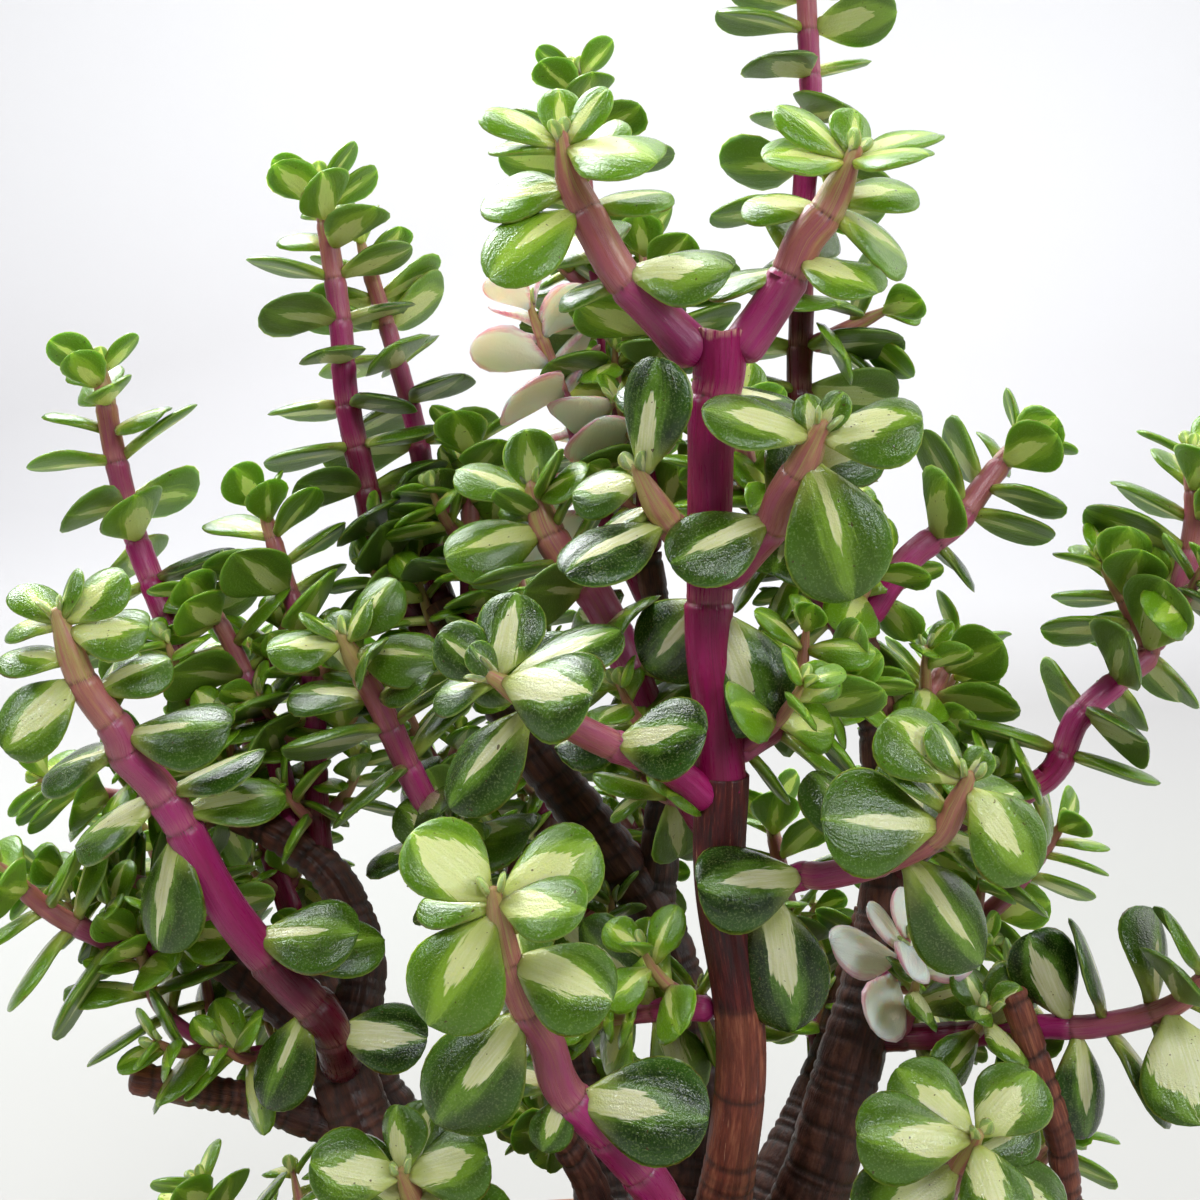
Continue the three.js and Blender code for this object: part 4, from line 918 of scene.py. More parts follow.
def smooth_line(route):
    """Close points on a smooth curve through the route, and the distance run at each."""
    points = [vec(p) for p in route]
    ends = [2 * points[0] - points[1], *points, 2 * points[-1] - points[-2]]
    made = []
    t = (np.arange(CURVE_STEPS) / CURVE_STEPS)[:, None]
    for a, b, c, d in zip(ends, ends[1:], ends[2:], ends[3:]):
        square, cube = 2 * a - 5 * b + 4 * c - d, 3 * b - a - 3 * c + d
        made.append(0.5 * (2 * b + (c - a) * t + square * t**2 + cube * t**3))
    made = np.concatenate([*made, [points[-1]]])
    run = np.concatenate([[0], np.cumsum(np.linalg.norm(np.diff(made, axis=0), axis=1))])
    return made, run


def placed(line, run, step, marks=(), near=()):
    """Where a stem's rings go, and how far along it: evenly spaced, and closer at each mark."""
    total = run[-1]
    even = np.linspace(0, total, max(2, round(total / step)) + 1)
    close = [mark + off for mark in marks for off in near if 0 < mark + off < total]
    made = [0.0]
    for at in sorted([*even[1:-1], *close]):
        if at - made[-1] > CLOSEST and total - at > CLOSEST:
            made.append(at)
    made = np.array([*made, total])
    return np.stack([np.interp(made, run, line[:, axis]) for axis in range(3)], axis=-1), made


def tube(points, radii, sides):
    """Rings of points round a line; radii has one value a ring and side."""
    side = vec((0.3, -1, 0.1))
    turns = round_turns(sides)[:, None]
    rows = []
    for point, along, radius in zip(points, np.gradient(points, axis=0), radii):
        side, other = square_to(unit(along), side)
        rows.append(point + radius[:, None] * (np.cos(turns) * side + np.sin(turns) * other))
    return np.concatenate(rows)


def domed(points, radii, run, height):
    """Three more rings that round off the far end of a tube."""
    along = unit(points[-1] - points[-2])
    radius, end = radii[-1], points[-1]
    for turn in np.radians((35, 60, 80)):
        out = radius * height * math.sin(turn)
        points = np.vstack([points, end + along * out])
        radii = np.append(radii, radius * math.cos(turn))
        run = np.append(run, run[-1] + 0.2)
    return points, radii, run


# Leaves


def half_width(share):
    """Half a leaf's width, as a share of its width, along it: a wedge from the neck, then a round end."""
    back = np.clip((WIDEST - share) / WIDEST, 0, 1)
    front = np.clip((share - WIDEST) / (1 - WIDEST), 0, 1)
    return np.where(share < WIDEST, 0.5 * (1 - back**1.75) ** 1.3, 0.5 * (1 - front**2.2) ** 0.5)


class LeafGrid:
    """Shares along and across a leaf: for each step along, a ring over the top and back underneath."""

    def __init__(self, back, front, cells):
        to_widest = WIDEST * np.linspace(0, 1, back + 1)
        to_tip = WIDEST + (1 - WIDEST) * np.sin(np.pi / 2 * np.linspace(0, 1, front + 1))
        across = np.sin(np.pi / 2 * np.linspace(-1, 1, cells + 1))
        self.along = np.concatenate([to_widest, to_tip[1:]])
        self.across = np.concatenate([across, across[-2:0:-1]])
        self.side = np.concatenate([[0], np.ones(cells - 1), [0], -np.ones(cells - 1)])
        self.faces = tube_faces(len(self.along), 2 * cells)
        self.slots = ([LEAF_SLOT] * cells + [UNDER_SLOT] * cells) * (len(self.along) - 1) + [LEAF_SLOT] * 2


FINE_LEAF = LeafGrid(7, 6, 8)
PLAIN_LEAF = LeafGrid(3, 4, 5)


def add_leaf(parts, leaf, grid, draw):
    """One thick obovate leaf, domed when old and cupped when young, with a groove along its midrib."""
    long, along, up, side = leaf_axes(leaf)
    cup = between(draw, *CUP) + FRESH_CUP * leaf["young"]
    arch = ARCH + between(draw, *MORE_ARCH) * (0.5 + leaf["young"])
    if leaf["flat"]:
        cup, arch = FLAT_CUP, FLAT_ARCH
    phase = 2 * math.pi * draw.random()
    notch, twist, lean = between(draw, *NOTCH), between(draw, *TWIST), between(draw, *SIDE_LEAN)
    grown = 0.4 + 0.6 * long / LEAF_LONG

    start = min(leaf["start"], 0.25)
    share = (start + (LEAF_END - start) * grid.along)[:, None]
    across = grid.across[None, :]
    half = np.maximum(half_width(share), 0.07 * (1 - share)) * leaf["wide"]
    edge = np.abs(across)
    near_end = np.clip((1 - share) / (1 - WIDEST), 0, 1)
    thick = LEAF_THICK / 2 * grown * (1.1 - 0.3 * share) * (1 - edge**2.6) ** 0.5
    thick = thick * (1 - (1 - near_end) ** 3.2) ** 0.5
    groove = GROOVE * grown * np.exp(-((across * half / (GROOVE_HALF * grown)) ** 2)) * (1 - share) ** 0.7
    groove = groove * (grid.side > 0)
    fade = np.clip((share - 0.8) / 0.2, 0, 1) ** 2
    run = share * long - notch * long * fade * np.exp(-((across / 0.35) ** 2))
    lift = cup * half * 2 * edge**1.8 - arch * long * share**2
    lift = lift + 0.014 * leaf["wide"] * np.sin(8 * share + phase + 2 * across) * edge**2
    lift = lift + twist * half * across * share + grid.side * thick - groove
    sideways = across * half + lean * long * share**2
    points = leaf["base"] + run[..., None] * along + sideways[..., None] * side + lift[..., None] * up
    place = np.stack(np.broadcast_arrays(share, across, draw.random()), axis=-1)
    look = np.broadcast_to(vec((leaf["young"], leaf["cream"], leaf["pink"])), points.shape)
    parts.add(points.reshape(-1, 3), grid.faces, place.reshape(-1, 3), look.reshape(-1, 3), grid.slots)


def add_tip_bud(parts, stem, look, grid, draw):
    """The pair of leaves just opening at a stem's end."""
    end, along = stem["line"].at(1)
    turn = math.radians(stem["turn"] + 90) + draw.random()
    for half in (0, math.pi):
        out = outwards(along, turn + half)
        long = BUD_LONG * between(draw, *BUD_SPREAD)
        run = unit(along + out * between(draw, *BUD_OPEN))
        bud = {"base": end - along * 0.4 + out * 0.5, "tip": end + run * long, "face": along * 0.3 - out}
        add_leaf(parts, {**bud, "wide": BUD_WIDE * long, "start": 0, **look}, grid, draw)


# Stems


def bump_at(past, shift, width):
    """How near each ring is to its nearest mark, where `past` says how far it stands past each."""
    return np.exp(-(((past - shift) / width) ** 2)).max(axis=1)


def add_stem(parts, stem, marks, draw):
    """A round stem, swollen under its nodes and pinched at them, its colour changing at each."""
    fine, foot = stem["fine"], stem["foot"]
    sides = STEM_SIDES if fine else TWIG_SIDES
    line, run = smooth_line(stem["route"])
    total = run[-1]
    points, run = placed(line, run, STEM_STEP, [*marks, foot, total], NEAR_MARK if fine else NEAR_TWIG_MARK)
    radii = np.array([thick_at(stem["thick"], r / total) / 2 for r in run])
    if foot:
        clear = run > foot + 0.05
        points, run, radii = points[clear], run[clear], radii[clear]
        up = run - foot
        radii = radii * (1 + FOOT_BULGE * np.exp(-(((up - radii[0]) / (1.1 * radii[0])) ** 2)))
        radii = radii * (1 - (1 - np.clip(up / (0.8 * radii[0]), 0, 1)) ** 2) ** 0.5
    if not stem["cut"]:
        radii = radii * (1 - TAPER * np.exp(-(((total - run) / TAPER_LONG) ** 2)))
        points, radii, run = domed(points, radii, run, 1)
    past = run[:, None] - np.array(marks)[None, :]
    below, pinch, narrow = (bump_at(past, *bump) for bump in NODE_BUMPS)
    radii = radii * (1 + np.dot(NODE_SWELLS, (below, pinch, narrow)))
    turns = round_turns(sides)
    wobble = 1 + 0.02 * np.sin(3 * turns[None, :] + run[:, None] * 0.35 + 6 * draw.random())
    verts = tube(points, radii[:, None] * wobble, sides)
    if stem["cut"]:
        narrow[run > total - DRY_EDGE] = 3
        torn = TORN * np.sin(3 * turns + 1) * np.sin(7 * turns)
        pulled = np.clip(1 - (total - run) / (2 * TORN), 0, 1)[:, None] * torn
        verts += pulled.reshape(-1, 1) * unit(points[-1] - points[-2])
    # Age steps up from node to node, counted down from the tip
    step = (past < 0).sum(axis=1)
    jitter = np.array([draw.random() for _ in range(len(marks) + 1)])
    from_tip = np.clip(total - run, 0, None)
    node_tip = total - np.append(marks, total)[len(marks) - step]
    age = ((1 - AGE_BY_NODE) * from_tip + AGE_BY_NODE * node_tip) / AGE_LENGTH
    age = np.clip((age + AGE_JITTER * (jitter[step] - 0.5)) * stem["aging"] + stem["older"], 0, 1)
    place = tube_place(run, sides, draw.random())
    look = rows_of(len(run), sides, age[:, None], pinch[:, None], narrow[:, None])
    parts.add(verts, tube_faces(len(run), sides), place, look, STEM_SLOT)


def add_limb(parts, limb, draw, seed):
    """An old limb, ringed with the scars of shed leaves, or smooth and peeling towards its young end."""
    line, run = smooth_line(limb["route"])
    total, smooth_top = run[-1], limb["smooth_top"]
    least, more = SCAR_GAP
    gaps = least + more * np.array([draw.random() ** 2 for _ in range(int(total / least) + 2)])
    scars = [at for at in np.cumsum(gaps) if at < total - smooth_top]
    scars = np.array(scars + [total - back for back in limb["rings_from_top"]])
    depths = np.array([between(draw, *SCAR_DEPTH) for _ in scars])
    points, run = placed(line, run, LIMB_STEP)
    radii = np.array([thick_at(limb["thick"], r / total) / 2 for r in run])
    if limb["stub"]:
        points, radii, run = domed(points, radii, run, 0.45)
    sides = LIMB_SIDES
    turns = round_turns(sides)
    along = run[:, None]
    old = np.clip((total - smooth_top - along) / SMOOTH_FADE, 0, 1) if smooth_top else np.ones(along.shape)
    wavy = along + (0.4 * np.sin(turns + seed) + 0.22 * np.sin(3 * turns + 2 * seed)) * old
    scar = (depths * np.exp(-(((wavy[:, :, None] - scars) / SCAR_WIDTH) ** 2))).max(axis=2)
    rough = 0.16 + 0.014 * radii[:, None]
    rings = radii[:, None] + rough * (0.4 * old - 1.6 * scar * (0.35 + 0.65 * old))
    lumps = 0.035 * np.sin(2 * turns + along * 0.09 + seed)
    lumps = lumps + 0.02 * np.sin(5 * turns - along * 0.21 + 2 * seed)
    lumps = lumps + 0.012 * np.sin(9 * turns + along * 0.5 + 3 * seed)
    verts = tube(points, rings * (1 + lumps * (0.3 + 0.7 * old)), sides)
    ruddy = np.clip(along / total * limb["ruddy"], 0, 1)
    look = rows_of(len(run), sides, ruddy, np.clip(scar, 0, 1), 1 - old)
    parts.add(verts, tube_faces(len(run), sides), tube_place(run, sides, seed), look, 0)


def add_base(parts, seed):
    """The flared base of the wood, ribbed where the limbs run down into it."""
    turns = round_turns(BASE_SIDES)
    ribs = 1 + 0.07 * np.sin(7 * turns + seed) + 0.04 * np.sin(12 * turns + 2 * seed)
    verts = circles(WOOD_BOTTOM, BASE_SIDES, ribs, BASE_CENTRE)
    place = tube_place([height for _, height in WOOD_BOTTOM], BASE_SIDES, seed)
    parts.add(verts, tube_faces(len(WOOD_BOTTOM), BASE_SIDES), place, np.zeros(verts.shape), 0)


# Pot, soil and drain mesh


def rounded(profile, radius, steps=4):
    """A closed outline with each corner rounded."""
    made = []
    count = len(profile)
    for i, corner in enumerate(profile):
        corner = vec(corner)
        before, after = vec(profile[i - 1]), vec(profile[(i + 1) % count])
        reach = min(radius, 0.4 * np.linalg.norm(before - corner), 0.4 * np.linalg.norm(after - corner))
        a = corner + unit(before - corner) * reach
        b = corner + unit(after - corner) * reach
        for k in range(steps + 1):
            t = k / steps
            made.append((1 - t) ** 2 * a + 2 * t * (1 - t) * corner + t**2 * b)
    return np.array(made)


def turned(outline, turns, closed):
    """A ring of outlines: points and faces of a closed outline turned round the Z axis through `turns`."""
    radius, height = outline.T
    rows = [np.stack([radius * math.cos(t), radius * math.sin(t), height], axis=-1) for t in turns]
    count = len(outline)
    faces = []
    for i in range(len(turns) if closed else len(turns) - 1):
        here, there = i * count, (i + 1) % len(turns) * count
        for k in range(count):
            after = (k + 1) % count
            faces.append((here + k, there + k, there + after, here + after))
    if not closed:
        faces.append(tuple(range(count)))
        faces.append(tuple(reversed(range((len(turns) - 1) * count, len(turns) * count))))
    return np.concatenate(rows), faces


def plain(parts, points, faces):
    parts.add(points, faces, points, np.zeros((len(points), 3)), 0)


def build_pot(material):
    p = POT
    outer, bottom, low = p["rim"] - p["lip_depth"], p["foot_height"], p["foot"] + p["flare"]
    inner, top_of_floor, lip = outer - p["wall"], bottom + p["floor"], p["height"] - p["lip_height"]
    shell = [(p["drain"], bottom), (low, bottom), (outer - p["belly"], p["belly_height"]), (outer, lip)]
    shell += [(p["rim"], lip), (p["rim"], p["height"]), (inner, p["height"])]
    shell += [(inner - p["belly"], p["belly_height"]), (low - p["wall"], top_of_floor)]
    shell += [(p["drain"], top_of_floor)]
    parts = Parts()
    plain(parts, *turned(rounded(shell, POT_ROUND), round_turns(POT_SIDES), True))
    heel, sunk = p["foot"] - p["foot_width"], bottom + 0.5
    foot = rounded([(heel, sunk), (heel, 0), (p["foot"], 0), (low, sunk)], FOOT_ROUND)
    half_gap = math.asin(p["foot_gap"] / 2 / p["foot"])
    for quarter in range(4):
        start = quarter * math.pi / 2 + half_gap
        arc = np.linspace(start, start + math.pi / 2 - 2 * half_gap, FOOT_STEPS)
        plain(parts, *turned(foot, arc, False))
    parts.piece("pot_body", [material], "pot")


def soil_level(radius):
    """The height of the soil's surface."""
    edge = POT["height"] - SOIL_BELOW
    shoulder = SHOULDER * POT["rim"]
    share = np.clip(radius / shoulder, 0, 1)
    outer = np.clip((radius - shoulder) / (POT["rim"] - shoulder - 10), 0, 1)
    inside = edge + SOIL_CROWN * (1 - (1 - SHOULDER_SHARE) * share)
    return np.where(radius < shoulder, inside, edge + SHOULDER_SHARE * SOIL_CROWN * (1 - outer))


def build_soil(material, grit, draw):
    """A crumbly top with stones of several sizes pressed into it."""
    p = POT
    inner = p["rim"] - p["lip_depth"] - p["wall"]
    reach = inner - p["belly"] * SOIL_BELOW / (p["height"] - p["belly_height"]) - 0.3
    rings, sides = 46, 140
    r, t = np.meshgrid(np.linspace(0.6, reach, rings), round_turns(sides), indexing="ij")
    x, y = r * np.cos(t), r * np.sin(t)
    bumps = 0.7 * np.sin(0.9 * x + 2) * np.sin(0.8 * y + 1) + 0.45 * np.sin(2.1 * x) * np.cos(1.9 * y + 3)
    level = soil_level(r) - 0.5 + bumps * 0.6 * np.clip((reach - r) / 4, 0, 1)
    top = np.stack([x, y, level], axis=-1).reshape(-1, 3)
    low, low_reach = p["foot_height"] + p["floor"] + 0.4, p["foot"] + p["flare"] - p["wall"] - 0.4
    below = [(inner - p["belly"] - 0.4, p["belly_height"]), (low_reach, low), (0.6, low)]
    parts = Parts()
    plain(parts, np.concatenate([top, circles(below, sides)]), tube_faces(rings + len(below), sides))
    for _ in range(GRIT):
        size = STONE_SIZE[0] + STONE_SIZE[1] * draw.random() ** STONE_ODDS
        radius = reach * math.sqrt(draw.random()) - size
        angle = 2 * math.pi * draw.random()
        x, y = radius * math.cos(angle), radius * math.sin(angle)
        if radius >= 0 and math.hypot(x - BASE_CENTRE[0], y - BASE_CENTRE[1]) >= WOOD_CLEAR:
            height = float(soil_level(radius)) - 0.4 + 0.35 * size * draw.random()
            add_stone(parts, vec((x, y, height)), size, draw)
    parts.piece("soil_and_grit", [material, grit], "soil")


def add_stone(parts, centre, size, draw):
    turn = 2 * math.pi * draw.random()
    squash = vec((1, between(draw, 0.7, 1), between(draw, 0.55, 0.9)))
    dents = 1 + 0.22 * np.sin(STONE_POINTS[:, [1, 2, 0]] * 4 + 9 * draw.random())
    points = STONE_POINTS * dents * squash * size
    c, s = math.cos(turn), math.sin(turn)
    points = points @ np.array([[c, s, 0], [-s, c, 0], [0, 0, 1]]) + centre
    parts.add(points, STONE_FACES, points, np.full(points.shape, draw.random()), 1)


def stone_shape():
    """A ball of few faces, as points and faces."""
    rings, sides = 4, 7
    points = [(0, 0, 1)]
    for i in range(1, rings):
        tilt = math.pi * i / rings
        for k in range(sides):
            turn = 2 * math.pi * (k + 0.5 * (i % 2)) / sides
            points.append((math.sin(tilt) * math.cos(turn), math.sin(tilt) * math.sin(turn), math.cos(tilt)))
    points.append((0, 0, -1))
    faces = []
    for k in range(sides):
        nxt = (k + 1) % sides
        faces.append((0, 1 + k, 1 + nxt))
        for i in range(rings - 2):
            a, b = 1 + i * sides, 1 + (i + 1) * sides
            faces.append((a + k, b + k, b + nxt, a + nxt))
        last = 1 + (rings - 2) * sides
        faces.append((last + k, len(points) - 1, last + nxt))
    return np.array(points, float), faces


STONE_POINTS, STONE_FACES = stone_shape()


# Materials


def linear(hex_colour):
    """A #rrggbb colour as Blender's linear values."""
    parts = [int(hex_colour[i : i + 2], 16) / 255 for i in (1, 3, 5)]
    return tuple(c / 12.92 if c <= 0.04045 else ((c + 0.055) / 1.055) ** 2.4 for c in parts) + (1.0,)


def put(tree, socket, value):
    """Join a socket to another one, or set it to a value or a #rrggbb colour."""
    if isinstance(value, bpy.types.NodeSocket):
        tree.links.new(value, socket)
    else:
        socket.default_value = linear(value) if isinstance(value, str) else value


def add_node(tree, kind, inputs, **settings):
    """Add a node, put values in its inputs by name or number, and give its outputs."""
    made = tree.nodes.new("ShaderNode" + kind)
    for setting, value in settings.items():
        setattr(made, setting, value)
    for socket, value in inputs.items():
        put(tree, made.inputs[socket], value)
    return made.outputs


class Nodes:
    """A material's nodes, made and joined in short calls."""

    def __init__(self, name):
        self.material = bpy.data.materials.new(name)
        self.material.use_nodes = True
        self.tree = self.material.node_tree
        self.tree.nodes.clear()
        self.shader = self.tree.nodes.new("ShaderNodeBsdfPrincipled")
        self.add("OutputMaterial", {"Surface": self.shader.outputs["BSDF"]})

    def add(self, kind, inputs, **settings):
        return add_node(self.tree, kind, inputs, **settings)

    def set(self, **values):
        for label, value in values.items():
            put(self.tree, self.shader.inputs[label.replace("_", " ")], value)

    def math(self, operation, a, b=0.0, clamp=False):
        return self.add("Math", {0: a, 1: b}, operation=operation, use_clamp=clamp)[0]

    def plus(self, a, b, clamp=False):
        return self.math("ADD", a, b, clamp)

    def times(self, a, b):
        return self.math("MULTIPLY", a, b)

    def swing(self, noise, width):
        """Noise moved to lie round zero."""
        return self.times(self.plus(noise, -0.5), width)

    def mix(self, share, a, b):
        return self.add("Mix", {0: share, 6: a, 7: b}, data_type="RGBA")[2]

    def ramp(self, value, low, high, to_low=0.0, to_high=1.0):
        inputs = {"Value": value, "From Min": low, "From Max": high, "To Min": to_low, "To Max": to_high}
        return self.add("MapRange", inputs, interpolation_type="SMOOTHSTEP")["Result"]

    def colours(self, value, *stops):
        node = self.tree.nodes.new("ShaderNodeValToRGB")
        elements = node.color_ramp.elements
        while len(elements) < len(stops):
            elements.new(0.5)
        for element, (place, colour) in zip(elements, stops):
            element.position = place
            element.color = linear(colour)
        put(self.tree, node.inputs[0], value)
        return node.outputs[0]

    def attribute(self, name):
        return self.split(self.add("Attribute", {}, attribute_name=name)["Vector"])

    def split(self, vector):
        return tuple(self.add("SeparateXYZ", {0: vector}))

    def vector(self, x, y, z):
        return self.add("CombineXYZ", {0: x, 1: y, 2: z})[0]

    def wound(self, turn, radius, height):
        """A place on a tube's skin, where noise shows no seam."""
        angle = self.times(turn, 2 * math.pi)
        x, y = self.math("COSINE", angle), self.math("SINE", angle)
        return self.vector(self.times(x, radius), self.times(y, radius), height)

    def object_place(self):
        return self.add("TexCoord", {})["Object"]

    def noise(self, place, scale, detail=2.0, roughness=0.5):
        """Noise at a place, or at the object's own place where that is None."""
        place = self.object_place() if place is None else place
        inputs = {"Vector": place, "Scale": scale, "Detail": detail, "Roughness": roughness}
        return self.add("TexNoise", inputs)[0]

    def bump(self, height, strength, distance):
        normal = self.add("Bump", {"Height": height, "Strength": strength, "Distance": distance})[0]
        self.set(Normal=normal)


def leaf_material(name, under):
    """Dark green margins with a ragged cream middle, streaked along the leaf; yellower when young.

    Its underside is duller and paler, with a fainter middle.
    """
    n = Nodes(name)
    along, across, seed = n.attribute("place")
    young, cream, pink = n.attribute("look")
    shift = n.times(seed, 53.0)
    # Sideways distance from the midrib, as a share of half the leaf's greatest width
    sideways = n.times(across, n.ramp(along, 0.0, 0.55, 0.22, 1.0))
    drift = n.noise(n.vector(n.times(along, 1.6), shift, 0.0), 1.0)
    off_centre = n.times(n.math("SINE", n.times(seed, 71.0)), n.times(cream, 0.45))
    bent = n.times(n.plus(n.swing(drift, 0.5), off_centre), along)
    away = n.math("ABSOLUTE", n.plus(sideways, bent))

    def streaks(length, width, detail, roughness):
        """Noise drawn out along the leaf."""
        start = n.plus(n.times(along, length), shift)
        return n.noise(n.vector(start, n.times(sideways, width), shift), 1.0, detail, roughness)

    waves = streaks(1.7, 2.4, 3.0, 0.6)
    teeth = streaks(2.6, 15.0, 3.0, 0.65)
    ripples = streaks(3.5, 5.0, 2.0, 0.5)
    wander = n.plus(n.swing(waves, 0.8), n.swing(teeth, 0.62))
    stripe_end = n.plus(n.times(n.math("FRACT", n.times(seed, 17.0)), 0.4), 0.84)
    taper = n.ramp(along, 0.45, stripe_end, 1.0, 0.0)
    reach = n.plus(n.times(n.plus(cream, 0.14), taper), -0.08)
    inside = n.math("SUBTRACT", n.plus(reach, n.times(wander, n.plus(n.times(cream, 0.9), 0.22))), away)
    cream_mask = n.ramp(inside, -0.012, 0.028)
    lime_wide = n.plus(cream, n.times(n.math("FRACT", n.times(seed, 29.0)), 0.24))
    lime = n.plus(n.times(lime_wide, n.ramp(along, 0.5, 1.15, 1.0, 0.3)), n.times(wander, 0.6))
    border_mask = n.ramp(n.math("SUBTRACT", lime, away), -0.2, 0.16)
    flare = n.times(n.ramp(n.plus(teeth, n.times(away, -0.35)), 0.5, 0.62), 0.5)

    mottle = n.noise(None, 380.0, 3.0)
    pebbles = n.noise(None, 3300.0, 2.0, 0.6)
    dark = n.mix(n.ramp(mottle, 0.32, 0.7), "#162806", "#26400b")
    edge_green = n.mix(n.ramp(away, 0.55, 0.95), dark, "#315312")
    middle = n.mix(n.ramp(mottle, 0.3, 0.7), "#466a18", "#648a28")
    green = n.mix(n.plus(border_mask, n.times(flare, 0.5), clamp=True), edge_green, middle)
    pale = n.mix(n.ramp(teeth, 0.38, 0.66), "#cfcd98", "#dedbb6")
    grown = n.mix(cream_mask, green, pale)
    fresh_green = n.mix(n.plus(border_mask, flare, clamp=True), "#6b9516", "#a3c43a")
    fresh = n.mix(cream_mask, fresh_green, "#e0e68e")
    skin = n.mix(n.ramp(young, 0.05, 0.95), grown, fresh)
    skin = n.mix(n.ramp(pebbles, 0.5, 0.68, 0.0, 0.32), skin, n.mix(0.5, skin, "#b9cf7c"))
    neck = n.times(n.ramp(along, 0.1, 0.42, 1.0, 0.0), n.ramp(waves, 0.3, 0.7, 0.5, 0.95))
    skin = n.mix(neck, skin, "#a9b552")
    scar = n.ramp(along, 0.045, 0.085, 0.75, 0.0)
    skin = n.mix(scar, skin, "#8a5a38")
    specks = n.ramp(n.noise(None, 1500.0, 1.0), 0.735, 0.77, 0.0, 0.8)
    skin = n.mix(specks, skin, "#4a2c14")
    edge = n.math("ABSOLUTE", across)
    rim_colour = n.mix(n.ramp(n.noise(None, 260.0), 0.52, 0.66), "#93a848", "#7c4a30")
    skin = n.mix(n.ramp(edge, 0.95, 0.995, 0.0, 0.6), skin, rim_colour)
    blush = n.mix(n.ramp(n.plus(edge, n.times(wander, 0.7)), 0.68, 1.12), "#fdf4e2", "#e08ba2")
    skin = n.mix(pink, skin, blush)
    if under:
        share = n.times(n.ramp(young, 0.2, 0.9, 0.42, 0.05), n.math("SUBTRACT", 1.0, pink))
        n.set(Base_Color=n.mix(share, skin, "#6f8c30"), Roughness=n.ramp(pebbles, 0.3, 0.7, 0.4, 0.55))
    else:
        n.set(Base_Color=skin, Roughness=n.ramp(mottle, 0.3, 0.75, 0.1, 0.2))
    n.set(
        Specular_IOR_Level=0.5,
        Subsurface_Weight=n.plus(n.plus(0.35, n.times(pink, 0.6)), n.times(young, 0.4), clamp=True),
        Subsurface_Radius=n.vector(n.plus(0.8, n.times(pink, 0.6)), 1.0, n.plus(0.15, n.times(pink, 0.6))),
        Subsurface_Scale=0.0018,
    )
    relief = n.plus(n.times(pebbles, 0.5), n.plus(n.times(ripples, 1.1), n.times(teeth, 0.1)))
    n.bump(relief, 0.6, 0.0003)
    return n.material


def stem_material():
    """Young bark: peach at the tip, then salmon, then magenta, with brown seams at the nodes."""
    n = Nodes("young_bark")
    run, turn, seed = n.attribute("place")
    age, pinch, narrow = n.attribute("look")
    shift = n.times(seed, 41.0)
    streaks = n.noise(n.wound(turn, 0.9, n.plus(n.times(run, 0.04), shift)), 1.5, 3.0, 0.6)
    fine = n.noise(n.wound(turn, 5.5, n.plus(n.times(run, 0.16), shift)), 1.5, 3.0, 0.6)
    dots = n.noise(None, 2600.0)
    aged = n.plus(age, n.plus(n.swing(streaks, 0.6), n.swing(fine, 0.16)), clamp=True)
    tip_end = [(0.0, "#b29a5c"), (0.06, "#b3765e"), (0.14, "#a75e5a"), (0.28, "#a34b66")]
    old_end = [(0.44, "#a9296e"), (0.58, "#9a1259"), (0.75, "#7d083e"), (1.0, "#52061a")]
    skin = n.colours(aged, *tip_end, *old_end)
    skin = n.mix(n.times(narrow, n.ramp(fine, 0.35, 0.7, 0.0, 0.35)), skin, "#cf9a86")
    brown = n.mix(n.ramp(streaks, 0.4, 0.6), "#7c4a34", "#39150f")
    skin = n.mix(n.times(pinch, n.ramp(fine, 0.42, 0.6, 0.05, 0.8)), skin, brown)
    skin = n.mix(n.ramp(dots, 0.66, 0.76, 0.0, 0.4), skin, n.mix(0.6, skin, "#5d2a1c"))
    n.set(
        Base_Color=skin,
        Roughness=n.ramp(fine, 0.3, 0.7, 0.24, 0.42),
        Subsurface_Weight=0.15,
        Subsurface_Radius=(1.0, 0.25, 0.3),
        Subsurface_Scale=0.0011,
    )
    n.bump(n.plus(fine, n.times(dots, 0.25)), 0.35, 0.0003)
    return n.material


